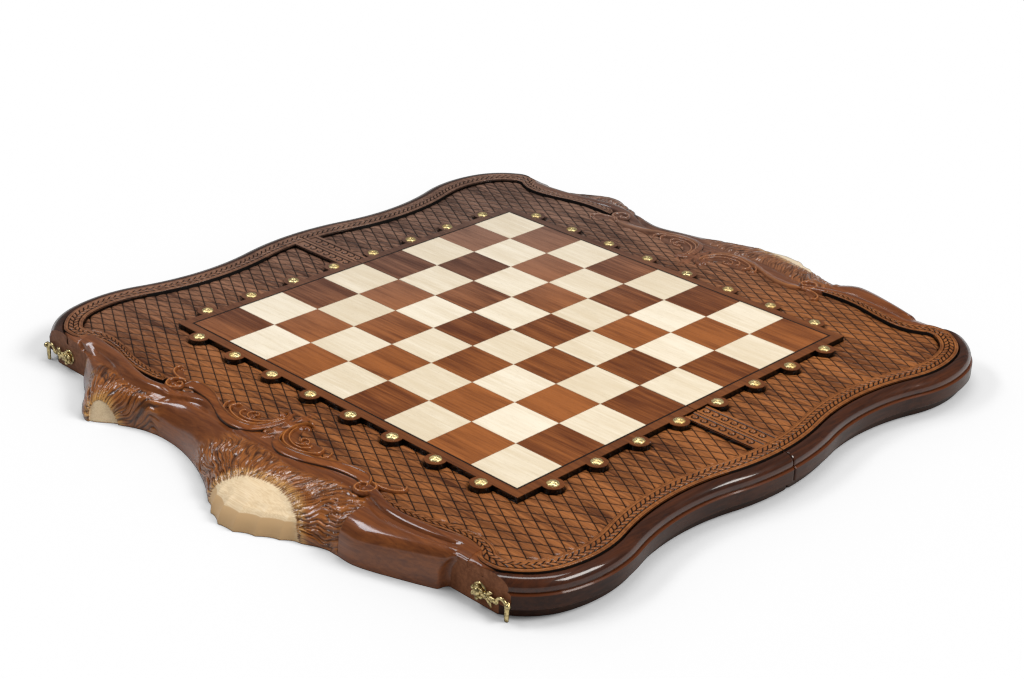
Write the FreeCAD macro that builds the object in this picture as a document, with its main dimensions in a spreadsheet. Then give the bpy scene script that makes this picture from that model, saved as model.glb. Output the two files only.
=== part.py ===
"""Carved folding chess and backgammon case, lying open, in millimetres.

The origin is at the middle of the split, on the surface the case stands on.
X runs across the split, Y along it and Z up. The far half (+X) is modelled,
and the near half (-X) is its mirror image with the clasp hooks added.
"""
import FreeCAD, Part
import math
import os
import re

SQUARES = 8
HALF_SQUARES = 4
POINTS_PER_ROW = 6

# Driving dimensions
SIZES = {
    "square_side": 47.0,
    "tile_thick": 2.0,
    "tile_joint": 0.25,
    "stringing_width": 1.6,
    "plate_border": 9.5,
    "plate_thick": 6.0,
    "lug_radius": 8.5,
    "lug_clearance": 1.0,
    "nail_reach": 13.0,
    "nail_head_radius": 5.5,
    "nail_head_height": 2.3,
    "nail_shank_radius": 1.4,
    "nail_shank_length": 8.0,
    "half_width": 283.0,
    "waist_depth": 13.0,
    "waist_place": 108.0,
    "shoulder_rise": 16.0,
    "shoulder_place": 209.0,
    "corner_radius": 56.0,
    "corner_shift": 14.0,
    "land_setback": 2.0,
    "split_gap": 0.4,
    "groove_width": 0.8,
    "deck_thick": 8.0,
    "ground_depth": 4.0,
    "border_width": 15.0,
    "ear_wall": 5.0,
    "end_top_width": 21.0,
    "wall_bearing": 8.0,
    "floor_thick": 4.0,
    "floor_bearing": 5.0,
    "tray_depth": 18.0,
    "inlay_thick": 1.0,
    "point_length": 190.0,
    "point_tip_width": 1.5,
    "point_spacing": 1.0,
    "lip_height": 8.5,
    "lip_reach": 6.0,
    "fascia_height": 12.0,
    "fascia_reach": 12.0,
    "bullnose_reach": 10.5,
    "bullnose_round": 7.0,
    "apron_reach": 65.0,
    "scroll_width": 10.0,
    "hinge_rail_thick": 15.0,
    "hinge_place": 150.0,
    "pin_offset": 4.0,
    "pin_radius": 1.5,
    "bore_clearance": 0.05,
    "closed_gap": 0.3,
    "knuckle_radius": 3.0,
    "knuckle_length": 8.0,
    "link_length": 10.0,
    "link_thick": 4.0,
    "hinge_play": 0.15,
    "leaf_width": 10.0,
    "leaf_thick": 2.0,
    "leaf_sink": 0.2,
    "mortise_clearance": 0.4,
    "screw_head_radius": 2.2,
    "screw_head_height": 1.2,
    "screw_shank_radius": 1.1,
    "screw_length": 9.0,
    "pivot_height": 11.0,
    "clasp_offset": 13.0,
    "clasp_base_radius": 6.5,
    "clasp_base_thick": 1.2,
    "clasp_gap": 0.3,
    "clasp_tang_radius": 1.5,
    "clasp_tang_length": 10.0,
    "clasp_head_radius": 2.9,
    "clasp_head_height": 1.5,
    "hook_thick": 2.0,
    "hook_eye_radius": 4.0,
    "hook_arm_width": 4.0,
    "hook_wall": 3.0,
    "hook_tip_clearance": 0.5,
    "post_radius": 2.5,
    "post_clearance": 0.4,
    "post_head_radius": 3.6,
    "overrun": 5.0,
}

# The waist arc's part of the distance between the waist's and the shoulder's arc centres
WAIST_RADIUS_SHARE = 0.673

# Sizes and places that follow from the driving dimensions
PLACES = {
    "field_half": f"square_side * {HALF_SQUARES}",
    "deck_bottom": "tray_depth + floor_thick",
    "deck_top": "deck_bottom + deck_thick",
    "ground_level": "deck_top - ground_depth",
    "plate_top": "ground_level + plate_thick",
    "plate_half": "field_half + plate_border",
    "nail_row": "field_half + nail_reach",
    "strap_width": "square_side / 2 - lug_radius - lug_clearance",
    "nail_ball": "(nail_head_radius ^ 2 + nail_head_height ^ 2) / (2 * nail_head_height)",
    "waist_half_width": "half_width - waist_depth",
    "shoulder_half_width": "waist_half_width + shoulder_rise",
    "middle_pair": "(waist_place ^ 2 + waist_depth ^ 2) / (2 * waist_depth)",
    "shoulder_run": "shoulder_place - waist_place",
    "shoulder_pair": "(shoulder_run ^ 2 + shoulder_rise ^ 2) / (2 * shoulder_rise)",
    "waist_radius": f"shoulder_pair * {WAIST_RADIUS_SHARE}",
    "middle_radius": "middle_pair - waist_radius",
    "shoulder_radius": "shoulder_pair - waist_radius",
    "corner_x": "shoulder_place + corner_shift",
    "corner_drop": "sqrt((shoulder_radius - corner_radius) ^ 2 - corner_shift ^ 2)",
    "corner_y": "shoulder_half_width - shoulder_radius + corner_drop",
    "land_x": "corner_x + corner_radius - land_setback",
    "deck_end": "land_x - end_top_width",
    "tray_end": "deck_end - wall_bearing",
    "tray_side": "waist_half_width - wall_bearing",
    "hinge_inner": "split_gap + hinge_rail_thick",
    "point_pitch": f"(tray_end - hinge_inner) / {POINTS_PER_ROW}",
    "fascia_top": "lip_height + fascia_height",
    "bullnose_height": "deck_top - fascia_top",
    "pin_height": "pin_offset - closed_gap / 2",
    "knuckle_start": "link_length / 2 + hinge_play",
    "hinge_half_length": "knuckle_start + knuckle_length",
    "clasp_y": "corner_y + clasp_offset",
    "hook_plane": "land_x + clasp_base_thick + clasp_gap",
    "hook_face": "hook_plane + hook_thick",
    "hook_throw": "2 * pivot_height + closed_gap",
    "hook_inner": "post_radius + post_clearance",
    "hook_outer": "hook_inner + hook_wall",
}

# Carved end: places along it as shares of the land's place, and the reach of the scroll's edge
# and of the foot past the land as shares of the apron's reach
APRON_SHARES = (
    (0.93, -0.10, 0.11),
    (0.816, -0.06, 0.34),
    (0.671, 0.06, 0.65),
    (0.596, 0.10, 0.47),
    (0.474, 0.03, 0.28),
    (0.351, -0.20, 0.25),
    (0.200, -0.11, 0.35),
    (0.026, -0.06, 0.61),
    (-0.110, -0.08, 0.91),
    (-0.200, -0.04, 1.00),
    (-0.307, -0.09, 0.86),
    (-0.408, -0.18, 0.65),
    (-0.504, -0.14, 0.48),
    (-0.645, 0.00, 0.46),
    (-0.798, -0.03, 0.29),
    (-0.93, -0.14, 0.11),
)
# How far the apron's round shoulder holds its height and its foot holds its reach
SHOULDER_SHARE = 0.60
FOOT_SHARE = 0.55

# Where the two screws of a hinge leaf stand along each knuckle's length and the leaf's width
SCREW_ALONG_SHARE = 0.5
SCREW_ACROSS_SHARE = 0.62

doc = FreeCAD.newDocument("ChessBackgammonCase")


def make_sheet(name, rows):
    """Writes named rows into a spreadsheet of the document."""
    page = doc.addObject("Spreadsheet::Sheet", name)
    for row, (alias, text) in enumerate(rows.items(), start=1):
        page.set(f"A{row}", alias)
        page.set(f"B{row}", text)
        page.setAlias(f"B{row}", alias)
    doc.recompute()
    return page


def sized(text, places_sheet="Places."):
    """Adds the sheet's name to each alias in an expression."""
    def owner(match):
        word = match.group(0)
        if word in SIZES:
            return f"Sizes.{word}"
        return places_sheet + word if word in PLACES else word
    return re.sub(r"[a-z_]+", owner, text)


sizes = make_sheet("Sizes", {alias: str(value) for alias, value in SIZES.items()})
places = make_sheet("Places", {alias: "=" + sized(text, "") for alias, text in PLACES.items()})


def value(alias):
    """Reads one size or place from the sheets."""
    page = sizes if alias in SIZES else places
    return float(page.get(alias))


# Document objects, bound to the sheets

def bind(item, **properties):
    """Binds properties of an object to expressions in the sheets' names."""
    for name, text in properties.items():
        item.setExpression(name, sized(text))
    return item


def put(item, at):
    """Binds the place of an object, one expression for each axis."""
    for axis, text in zip("xyz", at):
        item.setExpression(f"Placement.Base.{axis}", sized(text))
    return item


TURNS = {
    "x": FreeCAD.Rotation(FreeCAD.Vector(0, 1, 0), 90),
    "y": FreeCAD.Rotation(FreeCAD.Vector(1, 0, 0), -90),
    "z": FreeCAD.Rotation(),
}


def box(name, size, at):
    """A box by its lowest corner."""
    item = doc.addObject("Part::Box", name)
    bind(item, Length=size[0], Width=size[1], Height=size[2])
    return put(item, at)


def cylinder(name, radius, height, at, axis="z"):
    """A cylinder by the centre of its first end, along one axis."""
    item = doc.addObject("Part::Cylinder", name)
    bind(item, Radius=radius, Height=height)
    item.Placement = FreeCAD.Placement(FreeCAD.Vector(), TURNS[axis])
    return put(item, at)


def cone(name, first_radius, last_radius, height, at, axis="z"):
    """A cone by the centre of its first end, along one axis."""
    item = doc.addObject("Part::Cone", name)
    bind(item, Radius1=first_radius, Radius2=last_radius, Height=height)
    item.Placement = FreeCAD.Placement(FreeCAD.Vector(), TURNS[axis])
    return put(item, at)


def fuse(name, items):
    """One solid from several that overlap or meet."""
    item = doc.addObject("Part::MultiFuse", name)
    item.Shapes = items
    return item


def cut(name, base, *tools):
    """What is left of a base after each tool."""
    for number, tool in enumerate(tools):
        last = number == len(tools) - 1
        item = doc.addObject("Part::Cut", name if last else f"{name}_step")
        item.Base = base
        item.Tool = tool
        base = item
    return base


def common(name, base, tool):
    """What two shapes share."""
    item = doc.addObject("Part::Common", name)
    item.Base = base
    item.Tool = tool
    return item


def group(name, items):
    """Separate solids kept together."""
    item = doc.addObject("Part::Compound", name)
    item.Links = items
    return item


def mirrored(name, source, normal):
    """The mirror image of an object about a plane through the origin."""
    item = doc.addObject("Part::Mirroring", name)
    item.Source = source
    item.Normal = FreeCAD.Vector(*normal)
    return item


def feature(name, shape, level="0"):
    """A shape worked out from the sheets, lifted to a level."""
    item = doc.addObject("Part::Feature", name)
    item.Shape = shape
    item.setExpression("Placement.Base.z", sized(level))
    return item


def raised(name, plan, height):
    """A plan face extruded upwards."""
    item = doc.addObject("Part::Extrusion", name)
    item.Base = plan
    item.DirMode = "Custom"
    item.Dir = FreeCAD.Vector(0, 0, 1)
    item.Solid = True
    return bind(item, LengthFwd=height)


nodes = []


def node(name, item):
    """Names a finished sub-part."""
    item.Label = name
    nodes.append(item)
    return item


ACROSS = (1, 0, 0)
ALONG = (0, 1, 0)


def both_halves(name, item, near_name=None):
    """Keeps a piece on the far half and its mirror image on the near half."""
    node(f"far_{name}", item)
    return node(f"near_{near_name or name}", mirrored(f"near_{near_name or name}", item, ACROSS))


# Outline of the case in plan

def point(x, y):
    return FreeCAD.Vector(x, y, 0)


def arc_edge(centre, radius, first, last):
    """An arc about a centre, with angles from +Y towards +X."""
    def on(angle):
        return point(centre[0] + radius * math.sin(angle), centre[1] + radius * math.cos(angle))
    return Part.Arc(on(first), on((first + last) / 2), on(last)).toShape()


def bearing(start, end):
    """The angle from one centre to another, from +Y towards +X."""
    return math.atan2(end[0] - start[0], end[1] - start[1]) % (2 * math.pi)


def side_arcs(reach, start_x, end_x=None):
    """The four tangent arcs of the left edge, moved outwards by a reach.

    They start at one X and end at another, or where the corner runs along Y.
    """
    middle = (0, value("half_width") - value("middle_radius"))
    waist = (value("waist_place"), value("waist_half_width") + value("waist_radius"))
    shoulder = (value("shoulder_place"), value("shoulder_half_width") - value("shoulder_radius"))
    corner = (value("corner_x"), value("corner_y"))
    middle_radius = value("middle_radius") + reach
    waist_radius = value("waist_radius") - reach
    shoulder_radius = value("shoulder_radius") + reach
    corner_radius = value("corner_radius") + reach
    start = math.asin((start_x - middle[0]) / middle_radius)
    last = math.pi / 2 if end_x is None else math.asin((end_x - corner[0]) / corner_radius)
    return [
        arc_edge(middle, middle_radius, start, bearing(middle, waist)),
        arc_edge(waist, waist_radius, bearing(waist, middle), bearing(waist, shoulder)),
        arc_edge(shoulder, shoulder_radius, bearing(shoulder, waist) - 2 * math.pi,
                 bearing(shoulder, corner)),
        arc_edge(corner, corner_radius, bearing(shoulder, corner), last),
    ]


def closed_face(edges, corners=()):
    """A face bounded by edges in order and by straight lines through corners."""
    stops = [edges[-1].Vertexes[-1].Point, *corners, edges[0].Vertexes[0].Point]
    lines = [Part.makeLine(a, b) for a, b in zip(stops, stops[1:])]
    return Part.Face(Part.Wire(edges + lines))


def rail_plan(reach):
    """Plan of a left side rail whose outside stands past the groove by a reach."""
    corners = (
        point(value("land_x"), value("corner_y")),
        point(value("tray_end"), value("corner_y")),
        point(value("tray_end"), value("tray_side")),
        point(value("split_gap"), value("tray_side")),
    )
    return closed_face(side_arcs(reach, value("split_gap"), value("land_x")), corners)


def top_plan(reach, start_x, end_x):
    """Plan of the whole top between both side edges, with an ear at each corner."""
    arcs = side_arcs(reach, start_x)
    back = [arc.mirror(point(0, 0), FreeCAD.Vector(*ALONG)) for arc in reversed(arcs)]
    tip = arcs[-1].Vertexes[-1].Point
    stops = (tip, point(end_x, tip.y), point(end_x, -tip.y), point(tip.x, -tip.y))
    lines = [Part.makeLine(a, b) for a, b in zip(stops, stops[1:])]
    closing = Part.makeLine(back[-1].Vertexes[0].Point, arcs[0].Vertexes[0].Point)
    ordered = Part.__sortEdges__(arcs + lines + back + [closing])
    return Part.Face(Part.Wire(ordered))


def round_over(name, reach, level, height, radius):
    """A rail layer whose outer top edge is rounded."""
    layer = rail_plan(value(reach)).extrude(FreeCAD.Vector(0, 0, value(height)))
    outer = [
        edge for edge in layer.Edges
        if edge.Curve.TypeId == "Part::GeomCircle"
        and min(corner.Z for corner in edge.Vertexes) > value(height) / 2
    ]
    return feature(name, layer.makeFillet(min(value(radius), value(height)), outer), level)


# Playing field: plate with lugs, squares, stringing and nails

def square_places():
    """Column, row and lightness of each square on the far half."""
    for column in range(HALF_SQUARES):
        for row in range(SQUARES):
            yield column, row, (column + row) % 2 == 0


def nail_places():
    """The X and Y of each nail on the far half, at the middle of its square's edge."""
    for column in range(HALF_SQUARES):
        middle = f"square_side * {column + 0.5}"
        yield middle, "nail_row"
        yield middle, "-nail_row"
    for row in range(SQUARES):
        yield "nail_row", f"square_side * {row + 0.5 - HALF_SQUARES}"


def make_nail(number, x, y):
    """A domed nail with its shank through the plate."""
    dome = doc.addObject("Part::Sphere", f"nail_dome_{number}")
    bind(dome, Radius="nail_ball", Angle1="asin((nail_ball - nail_head_height) / nail_ball)")
    put(dome, (x, y, "plate_top + nail_head_height - nail_ball"))
    shank = cylinder(f"nail_shank_{number}", "nail_shank_radius", "nail_shank_length",
                     (x, y, "plate_top - nail_shank_length"))
    return fuse(f"nail_{number}", [dome, shank])


def make_field():
    """Builds the playing field of the far half and returns its nails."""
    pocket = box("field_pocket", ("field_half + stringing_width + overrun",
                                  "2 * (field_half + stringing_width)", "tile_thick + overrun"),
                 ("-overrun", "-field_half - stringing_width", "plate_top - tile_thick"))
    slab = box("plate_slab", ("plate_half - split_gap", "2 * plate_half", "plate_thick"),
               ("split_gap", "-plate_half", "ground_level"))
    lugs = [cylinder(f"plate_lug_{number}", "lug_radius", "plate_thick", (x, y, "ground_level"))
            for number, (x, y) in enumerate(nail_places())]
    nails = group("field_nails", [make_nail(number, x, y)
                                  for number, (x, y) in enumerate(nail_places())])
    scalloped = fuse("scalloped_plate", [slab] + lugs)
    both_halves("field_plate", cut("field_plate", scalloped, pocket, nails))

    ring = box("stringing_ring", ("field_half + stringing_width - split_gap",
                                  "2 * (field_half + stringing_width)", "tile_thick"),
               ("split_gap", "-field_half - stringing_width", "plate_top - tile_thick"))
    field = box("stringing_field", ("field_half + overrun", "2 * field_half",
                                    "tile_thick + 2 * overrun"),
                ("-overrun", "-field_half", "plate_top - tile_thick - overrun"))
    both_halves("stringing", cut("stringing", ring, field))

    tiles = {True: [], False: []}
    for column, row, light in square_places():
        start = "split_gap" if column == 0 else f"square_side * {column} + tile_joint / 2"
        tile = box(f"square_{column}_{row}",
                   (f"square_side * {column + 1} - tile_joint / 2 - ({start})",
                    "square_side - tile_joint", "tile_thick"),
                   (start, f"square_side * {row - HALF_SQUARES} + tile_joint / 2",
                    "plate_top - tile_thick"))
        tiles[light].append(tile)
    # A mirrored chequer swaps its colours
    both_halves("light_squares", group("light_squares", tiles[True]), "dark_squares")
    both_halves("dark_squares", group("dark_squares", tiles[False]), "light_squares")
    both_halves("field_nails", nails)
    return nails


# Top, inside field and walls

def make_deck(nails):
    """The carved top: a raised border and strap round a sunk ground."""
    plan = feature("deck_plan", top_plan(-value("groove_width"), value("split_gap"), value("deck_end")),
                   "deck_bottom")
    ear_limit = box("deck_ear_limit", ("land_x - ear_wall", "4 * half_width", "2 * deck_top"),
                    ("0", "-2 * half_width", "0"))
    board = common("deck_board", raised("deck_slab", plan, "deck_thick"), ear_limit)
    ground = feature("ground_plan", top_plan(-value("groove_width") - value("border_width"),
                                             value("strap_width"), value("deck_end")), "ground_level")
    end_run = box("ground_end_run", ("overrun + end_top_width", "2 * corner_y", "ground_depth + overrun"),
                  ("deck_end - overrun", "-corner_y", "ground_level"))
    seat = box("plate_seat", ("plate_half + lug_clearance + overrun", "2 * (plate_half + lug_clearance)",
                              "ground_depth + overrun"),
               ("-overrun", "-plate_half - lug_clearance", "ground_level"))
    sunk = raised("ground_pocket", ground, "ground_depth + overrun")
    both_halves("deck", cut("deck", board, sunk, end_run, seat, nails))


def make_points():
    """Inlaid points of the inside field, as two groups of wedges."""
    inlays = {True: [], False: []}
    for column in range(POINTS_PER_ROW):
        for side in (-1, 1):
            wedge = doc.addObject("Part::Wedge", f"point_{column}_{'left' if side > 0 else 'right'}")
            base = "(point_pitch - point_spacing) / 2"
            tip = "point_tip_width / 2"
            bind(wedge, Xmin=f"-{base}", Xmax=base, X2min=f"-{tip}", X2max=tip, Ymin="0",
                 Ymax="point_length", Zmin="0", Zmax="inlay_thick", Z2min="0", Z2max="inlay_thick")
            turn = FreeCAD.Rotation(FreeCAD.Vector(0, 0, 1), 180 if side > 0 else 0)
            wedge.Placement = FreeCAD.Placement(FreeCAD.Vector(), turn)
            put(wedge, (f"hinge_inner + point_pitch * {column + 0.5}", f"{side} * tray_side", "tray_depth"))
            inlays[(column % 2 == 0) == (side > 0)].append(wedge)
    light = group("light_points", inlays[True])
    dark = group("dark_points", inlays[False])
    both_halves("light_points", light, "dark_points")
    both_halves("dark_points", dark, "light_points")
    return light, dark


def make_floor(points):
    """The inside field, let into the walls under the top."""
    panel = box("floor_panel", ("tray_end + floor_bearing - split_gap", "2 * (tray_side + floor_bearing)",
                                "floor_thick"),
                ("split_gap", "-tray_side - floor_bearing", "tray_depth"))
    both_halves("floor", cut("floor", panel, *points))


def wall_recess():
    """Room for the top and the inside field in the walls that carry them."""
    plan = feature("recess_plan", top_plan(0, 0, value("deck_end") + value("groove_width")), "deck_bottom")
    limit = box("recess_limit", ("land_x - ear_wall + groove_width", "4 * half_width", "2 * deck_top"),
                ("0", "-2 * half_width", "0"))
    top = common("recess_top", raised("recess_slab", plan, "deck_thick + overrun"), limit)
    floor = box("recess_floor", ("tray_end + floor_bearing + overrun", "2 * (tray_side + floor_bearing)",
                                 "floor_thick + overrun"),
                ("-overrun", "-tray_side - floor_bearing", "tray_depth"))
    return fuse("wall_recess", [top, floor])


def split_relief():
    """What is rounded off the lower edge at the split so that the halves can turn."""
    corner = box("relief_corner", ("pin_offset + overrun", "4 * half_width", "pin_height + overrun"),
                 ("-overrun", "-2 * half_width", "-overrun"))
    barrel = cylinder("relief_barrel", "pin_offset - split_gap", "4 * half_width",
                      ("pin_offset", "-2 * half_width", "pin_height"), "y")
    return cut("split_relief", corner, barrel)


def make_side_rails(recess, relief):
    """Moulded side rails: an inset lip, a flat fascia and a bullnose."""
    lip = raised("rail_lip", feature("lip_plan", rail_plan(value("lip_reach"))), "lip_height")
    fascia = raised("rail_fascia", feature("fascia_plan", rail_plan(value("fascia_reach")), "lip_height"),
                    "fascia_height")
    bullnose = round_over("rail_bullnose", "bullnose_reach", "fascia_top", "bullnose_height",
                          "bullnose_round")
    tang = cylinder("clasp_hole", "clasp_tang_radius", "clasp_tang_length + overrun",
                    ("land_x - clasp_tang_length", "clasp_y", "pivot_height"), "x")
    left = cut("left_rail", fuse("rail_layers", [lip, fascia, bullnose]), recess, relief, tang)
    both_halves("left_rail", left)
    both_halves("right_rail", mirrored("right_rail", left, ALONG))


def make_hinge_rail(relief, mortises):
    """The straight rail along the split, mortised for the hinges."""
    rail = box("hinge_rail_bar", ("hinge_rail_thick", "2 * tray_side", "tray_depth"),
               ("split_gap", "-tray_side", "0"))
    both_halves("hinge_rail", cut("hinge_rail", rail, relief, *mortises))


def apron_section(along, top_share, foot_share):
    """One cross-section of the carved end, from its tray wall round to its foot."""
    y = along * value("corner_y")
    top_x = value("land_x") + top_share * value("apron_reach")
    foot_x = value("land_x") + foot_share * value("apron_reach")
    top = value("deck_top")
    ground = value("ground_level")
    shoulder_x = top_x + SHOULDER_SHARE * (foot_x - top_x)
    curve = Part.BezierCurve()
    curve.setPoles([
        FreeCAD.Vector(foot_x, y, 0),
        FreeCAD.Vector(foot_x, y, FOOT_SHARE * top),
        FreeCAD.Vector(shoulder_x, y, top),
        FreeCAD.Vector(top_x, y, top),
    ])
    inner_x = top_x - value("scroll_width")
    stops = (
        FreeCAD.Vector(top_x, y, top),
        FreeCAD.Vector(inner_x, y, top),
        FreeCAD.Vector(inner_x, y, ground),
        FreeCAD.Vector(value("tray_end"), y, ground),
        FreeCAD.Vector(value("tray_end"), y, 0),
        FreeCAD.Vector(foot_x, y, 0),
    )
    lines = [Part.makeLine(a, b) for a, b in zip(stops, stops[1:])]
    return Part.Wire([curve.toShape()] + lines)


def make_end_block(recess):
    """The carved end: an apron with two branch stubs between two flat clasp lands."""
    apron = feature("apron", Part.makeLoft([apron_section(*row) for row in APRON_SHARES], True, False))
    land_share = APRON_SHARES[0][0]
    lands = [
        box(f"clasp_land_{name}", ("land_x - tray_end", f"corner_y * (1 - {land_share})", "deck_top"),
            ("tray_end", start, "0"))
        for name, start in (("left", f"corner_y * {land_share}"), ("right", "-corner_y"))
    ]
    both_halves("end_block", cut("end_block", fuse("end_layers", [apron] + lands), recess))


# Hinges: two pins each, joined by a link, so that the case closes flush

HINGE_SIDES = (("left", 1), ("right", -1))


def hinge_along(side, text):
    """A place along the split, measured from a hinge's middle."""
    return f"{side} * hinge_place + ({text})"


def knuckle_starts():
    """Where each of the two knuckles of a leaf starts, from the hinge's middle."""
    return (("upper", "knuckle_start"), ("lower", "-hinge_half_length"))


def make_leaf(name, side):
    """A hinge leaf with its two knuckles, and its screws."""
    start = hinge_along(side, "-hinge_half_length")
    plate = box(f"leaf_plate_{name}", ("leaf_width", "2 * hinge_half_length", "leaf_thick"),
                ("pin_offset", start, "leaf_sink"))
    window = box(f"leaf_window_{name}", ("knuckle_radius + mortise_clearance + overrun", "2 * knuckle_start",
                                         "leaf_thick + 2 * overrun"),
                 ("pin_offset - overrun", hinge_along(side, "-knuckle_start"), "leaf_sink - overrun"))
    knuckles = [
        cylinder(f"knuckle_{name}_{end}", "knuckle_radius", "knuckle_length",
                 ("pin_offset", hinge_along(side, first), "pin_height"), "y")
        for end, first in knuckle_starts()
    ]
    bore = cylinder(f"leaf_bore_{name}", "pin_radius + bore_clearance",
                    "2 * hinge_half_length + 2 * overrun",
                    ("pin_offset", hinge_along(side, "-hinge_half_length - overrun"), "pin_height"), "y")
    screws = []
    for end, first in knuckle_starts():
        x = f"pin_offset + leaf_width * {SCREW_ACROSS_SHARE}"
        y = hinge_along(side, f"{first} + knuckle_length * {SCREW_ALONG_SHARE}")
        head = cone(f"screw_head_{name}_{end}", "screw_head_radius", "screw_shank_radius",
                    "screw_head_height", (x, y, "leaf_sink"))
        shank = cylinder(f"screw_shank_{name}_{end}", "screw_shank_radius", "screw_length",
                         (x, y, "leaf_sink"))
        screws.append(fuse(f"screw_{name}_{end}", [head, shank]))
    body = fuse(f"leaf_body_{name}", [cut(f"leaf_cut_{name}", plate, window)] + knuckles)
    return cut(f"leaf_{name}", body, bore, *screws), screws


def make_mortise(name, side):
    """Room in the hinge rail for a leaf, its knuckles and the link."""
    start = hinge_along(side, "-hinge_half_length - mortise_clearance")
    length = "2 * (hinge_half_length + mortise_clearance)"
    shelf = box(f"leaf_mortise_{name}", ("pin_offset + leaf_width + overrun", length,
                                         "leaf_sink + leaf_thick + overrun"),
                ("-overrun", start, "-overrun"))
    well = box(f"knuckle_mortise_{name}",
               ("pin_offset + knuckle_radius + mortise_clearance + overrun", length,
                "pin_height + knuckle_radius + mortise_clearance + overrun"),
               ("-overrun", start, "-overrun"))
    return fuse(f"mortise_{name}", [shelf, well])


def make_link(name, side):
    """The link that joins a hinge's two pins across the split."""
    start = hinge_along(side, "-link_length / 2")
    bar = box(f"link_bar_{name}", ("2 * pin_offset", "link_length", "link_thick"),
              ("-pin_offset", start, "pin_height - link_thick / 2"))
    eyes = [cylinder(f"link_eye_{name}_{end}", "knuckle_radius", "link_length",
                     (f"{sign} * pin_offset", start, "pin_height"), "y")
            for end, sign in (("near", -1), ("far", 1))]
    bores = [cylinder(f"link_bore_{name}_{end}", "pin_radius + bore_clearance", "link_length + 2 * overrun",
                      (f"{sign} * pin_offset", f"{start} - overrun", "pin_height"), "y")
             for end, sign in (("near", -1), ("far", 1))]
    return cut(f"link_{name}", fuse(f"link_body_{name}", [bar] + eyes), *bores)


def make_hinges():
    """Builds both hinges and returns their mortises and screws."""
    leaves = []
    screws = []
    pins = []
    for name, side in HINGE_SIDES:
        leaf, leaf_screws = make_leaf(name, side)
        leaves.append(leaf)
        screws += leaf_screws
        pins.append(cylinder(f"hinge_pin_{name}", "pin_radius", "2 * hinge_half_length",
                             ("pin_offset", hinge_along(side, "-hinge_half_length"), "pin_height"), "y"))
    both_halves("hinge_leaves", group("hinge_leaves", leaves))
    both_halves("hinge_pins", group("hinge_pins", pins))
    held = group("hinge_screws", screws)
    both_halves("hinge_screws", held)
    node("hinge_links", group("hinge_links", [make_link(name, side) for name, side in HINGE_SIDES]))
    return [make_mortise(name, side) for name, side in HINGE_SIDES] + [held]


# Clasps: a hook on the near half drops over a post on the far half

def make_catch_post():
    """A headed post on its round plate, on the far half's left land."""
    at = ("land_x", "clasp_y", "pivot_height")
    parts = [
        cylinder("post_plate", "clasp_base_radius", "clasp_base_thick", at, "x"),
        cylinder("post_neck", "post_radius", "hook_face + clasp_gap - land_x", at, "x"),
        cylinder("post_head", "post_head_radius", "clasp_head_height",
                 ("hook_face + clasp_gap", "clasp_y", "pivot_height"), "x"),
        cylinder("post_tang", "clasp_tang_radius", "clasp_tang_length",
                 ("land_x - clasp_tang_length", "clasp_y", "pivot_height"), "x"),
    ]
    return fuse("catch_post", parts)


def make_clasp():
    """Base plate, pivot screw and hook of a clasp, where a post stands on the far half."""
    at = ("land_x", "clasp_y", "pivot_height")
    pivot = fuse("clasp_pivot", [
        cylinder("pivot_shank", "clasp_tang_radius", "clasp_tang_length + hook_face + clasp_gap - land_x",
                 ("land_x - clasp_tang_length", "clasp_y", "pivot_height"), "x"),
        cylinder("pivot_head", "clasp_head_radius", "clasp_head_height",
                 ("hook_face + clasp_gap", "clasp_y", "pivot_height"), "x"),
    ])
    base = cut("clasp_base", cylinder("base_plate", "clasp_base_radius", "clasp_base_thick", at, "x"), pivot)
    eye = cylinder("hook_eye", "hook_eye_radius", "hook_thick",
                   ("hook_plane", "clasp_y", "pivot_height"), "x")
    arm = box("hook_arm", ("hook_thick", "hook_throw - hook_inner", "hook_arm_width"),
              ("hook_plane", "clasp_y", "pivot_height - hook_arm_width / 2"))
    bow = cylinder("hook_bow", "hook_outer", "hook_thick",
                   ("hook_plane", "clasp_y + hook_throw", "pivot_height"), "x")
    mouth = cylinder("hook_mouth", "hook_inner", "hook_thick + 2 * overrun",
                     ("hook_plane - overrun", "clasp_y + hook_throw", "pivot_height"), "x")
    below = box("hook_below", ("hook_thick + 2 * overrun", "2 * hook_outer", "hook_outer + overrun"),
                ("hook_plane - overrun", "clasp_y + hook_throw - hook_outer",
                 "pivot_height - hook_outer - overrun"))
    tip = box("hook_tip", ("hook_thick", "hook_wall", "pivot_height - hook_tip_clearance"),
              ("hook_plane", "clasp_y + hook_throw + hook_inner", "hook_tip_clearance"))
    bore = cylinder("hook_bore", "clasp_tang_radius + bore_clearance", "hook_thick + 2 * overrun",
                    ("hook_plane - overrun", "clasp_y", "pivot_height"), "x")
    arch = cut("hook_arch", bow, below)
    hook = cut("hook", fuse("hook_body", [eye, arm, arch, tip]), mouth, bore)
    return {"clasp_base": base, "clasp_pivot": pivot, "hook": hook}


def make_clasps():
    """Keeps a post at each end of the far half and a clasp at each end of the near half."""
    post = make_catch_post()
    node("left_catch_post", post)
    node("right_catch_post", mirrored("right_catch_post", post, ALONG))
    for name, item in make_clasp().items():
        left = mirrored(f"left_{name}", item, ACROSS)
        node(f"left_{name}", left)
        node(f"right_{name}", mirrored(f"right_{name}", left, ALONG))


def make_case():
    """Builds every sub-part."""
    nails = make_field()
    make_deck(nails)
    make_floor(make_points())
    recess = wall_recess()
    relief = split_relief()
    make_side_rails(recess, relief)
    make_end_block(recess)
    make_hinge_rail(relief, make_hinges())
    make_clasps()
    doc.recompute()


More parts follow.
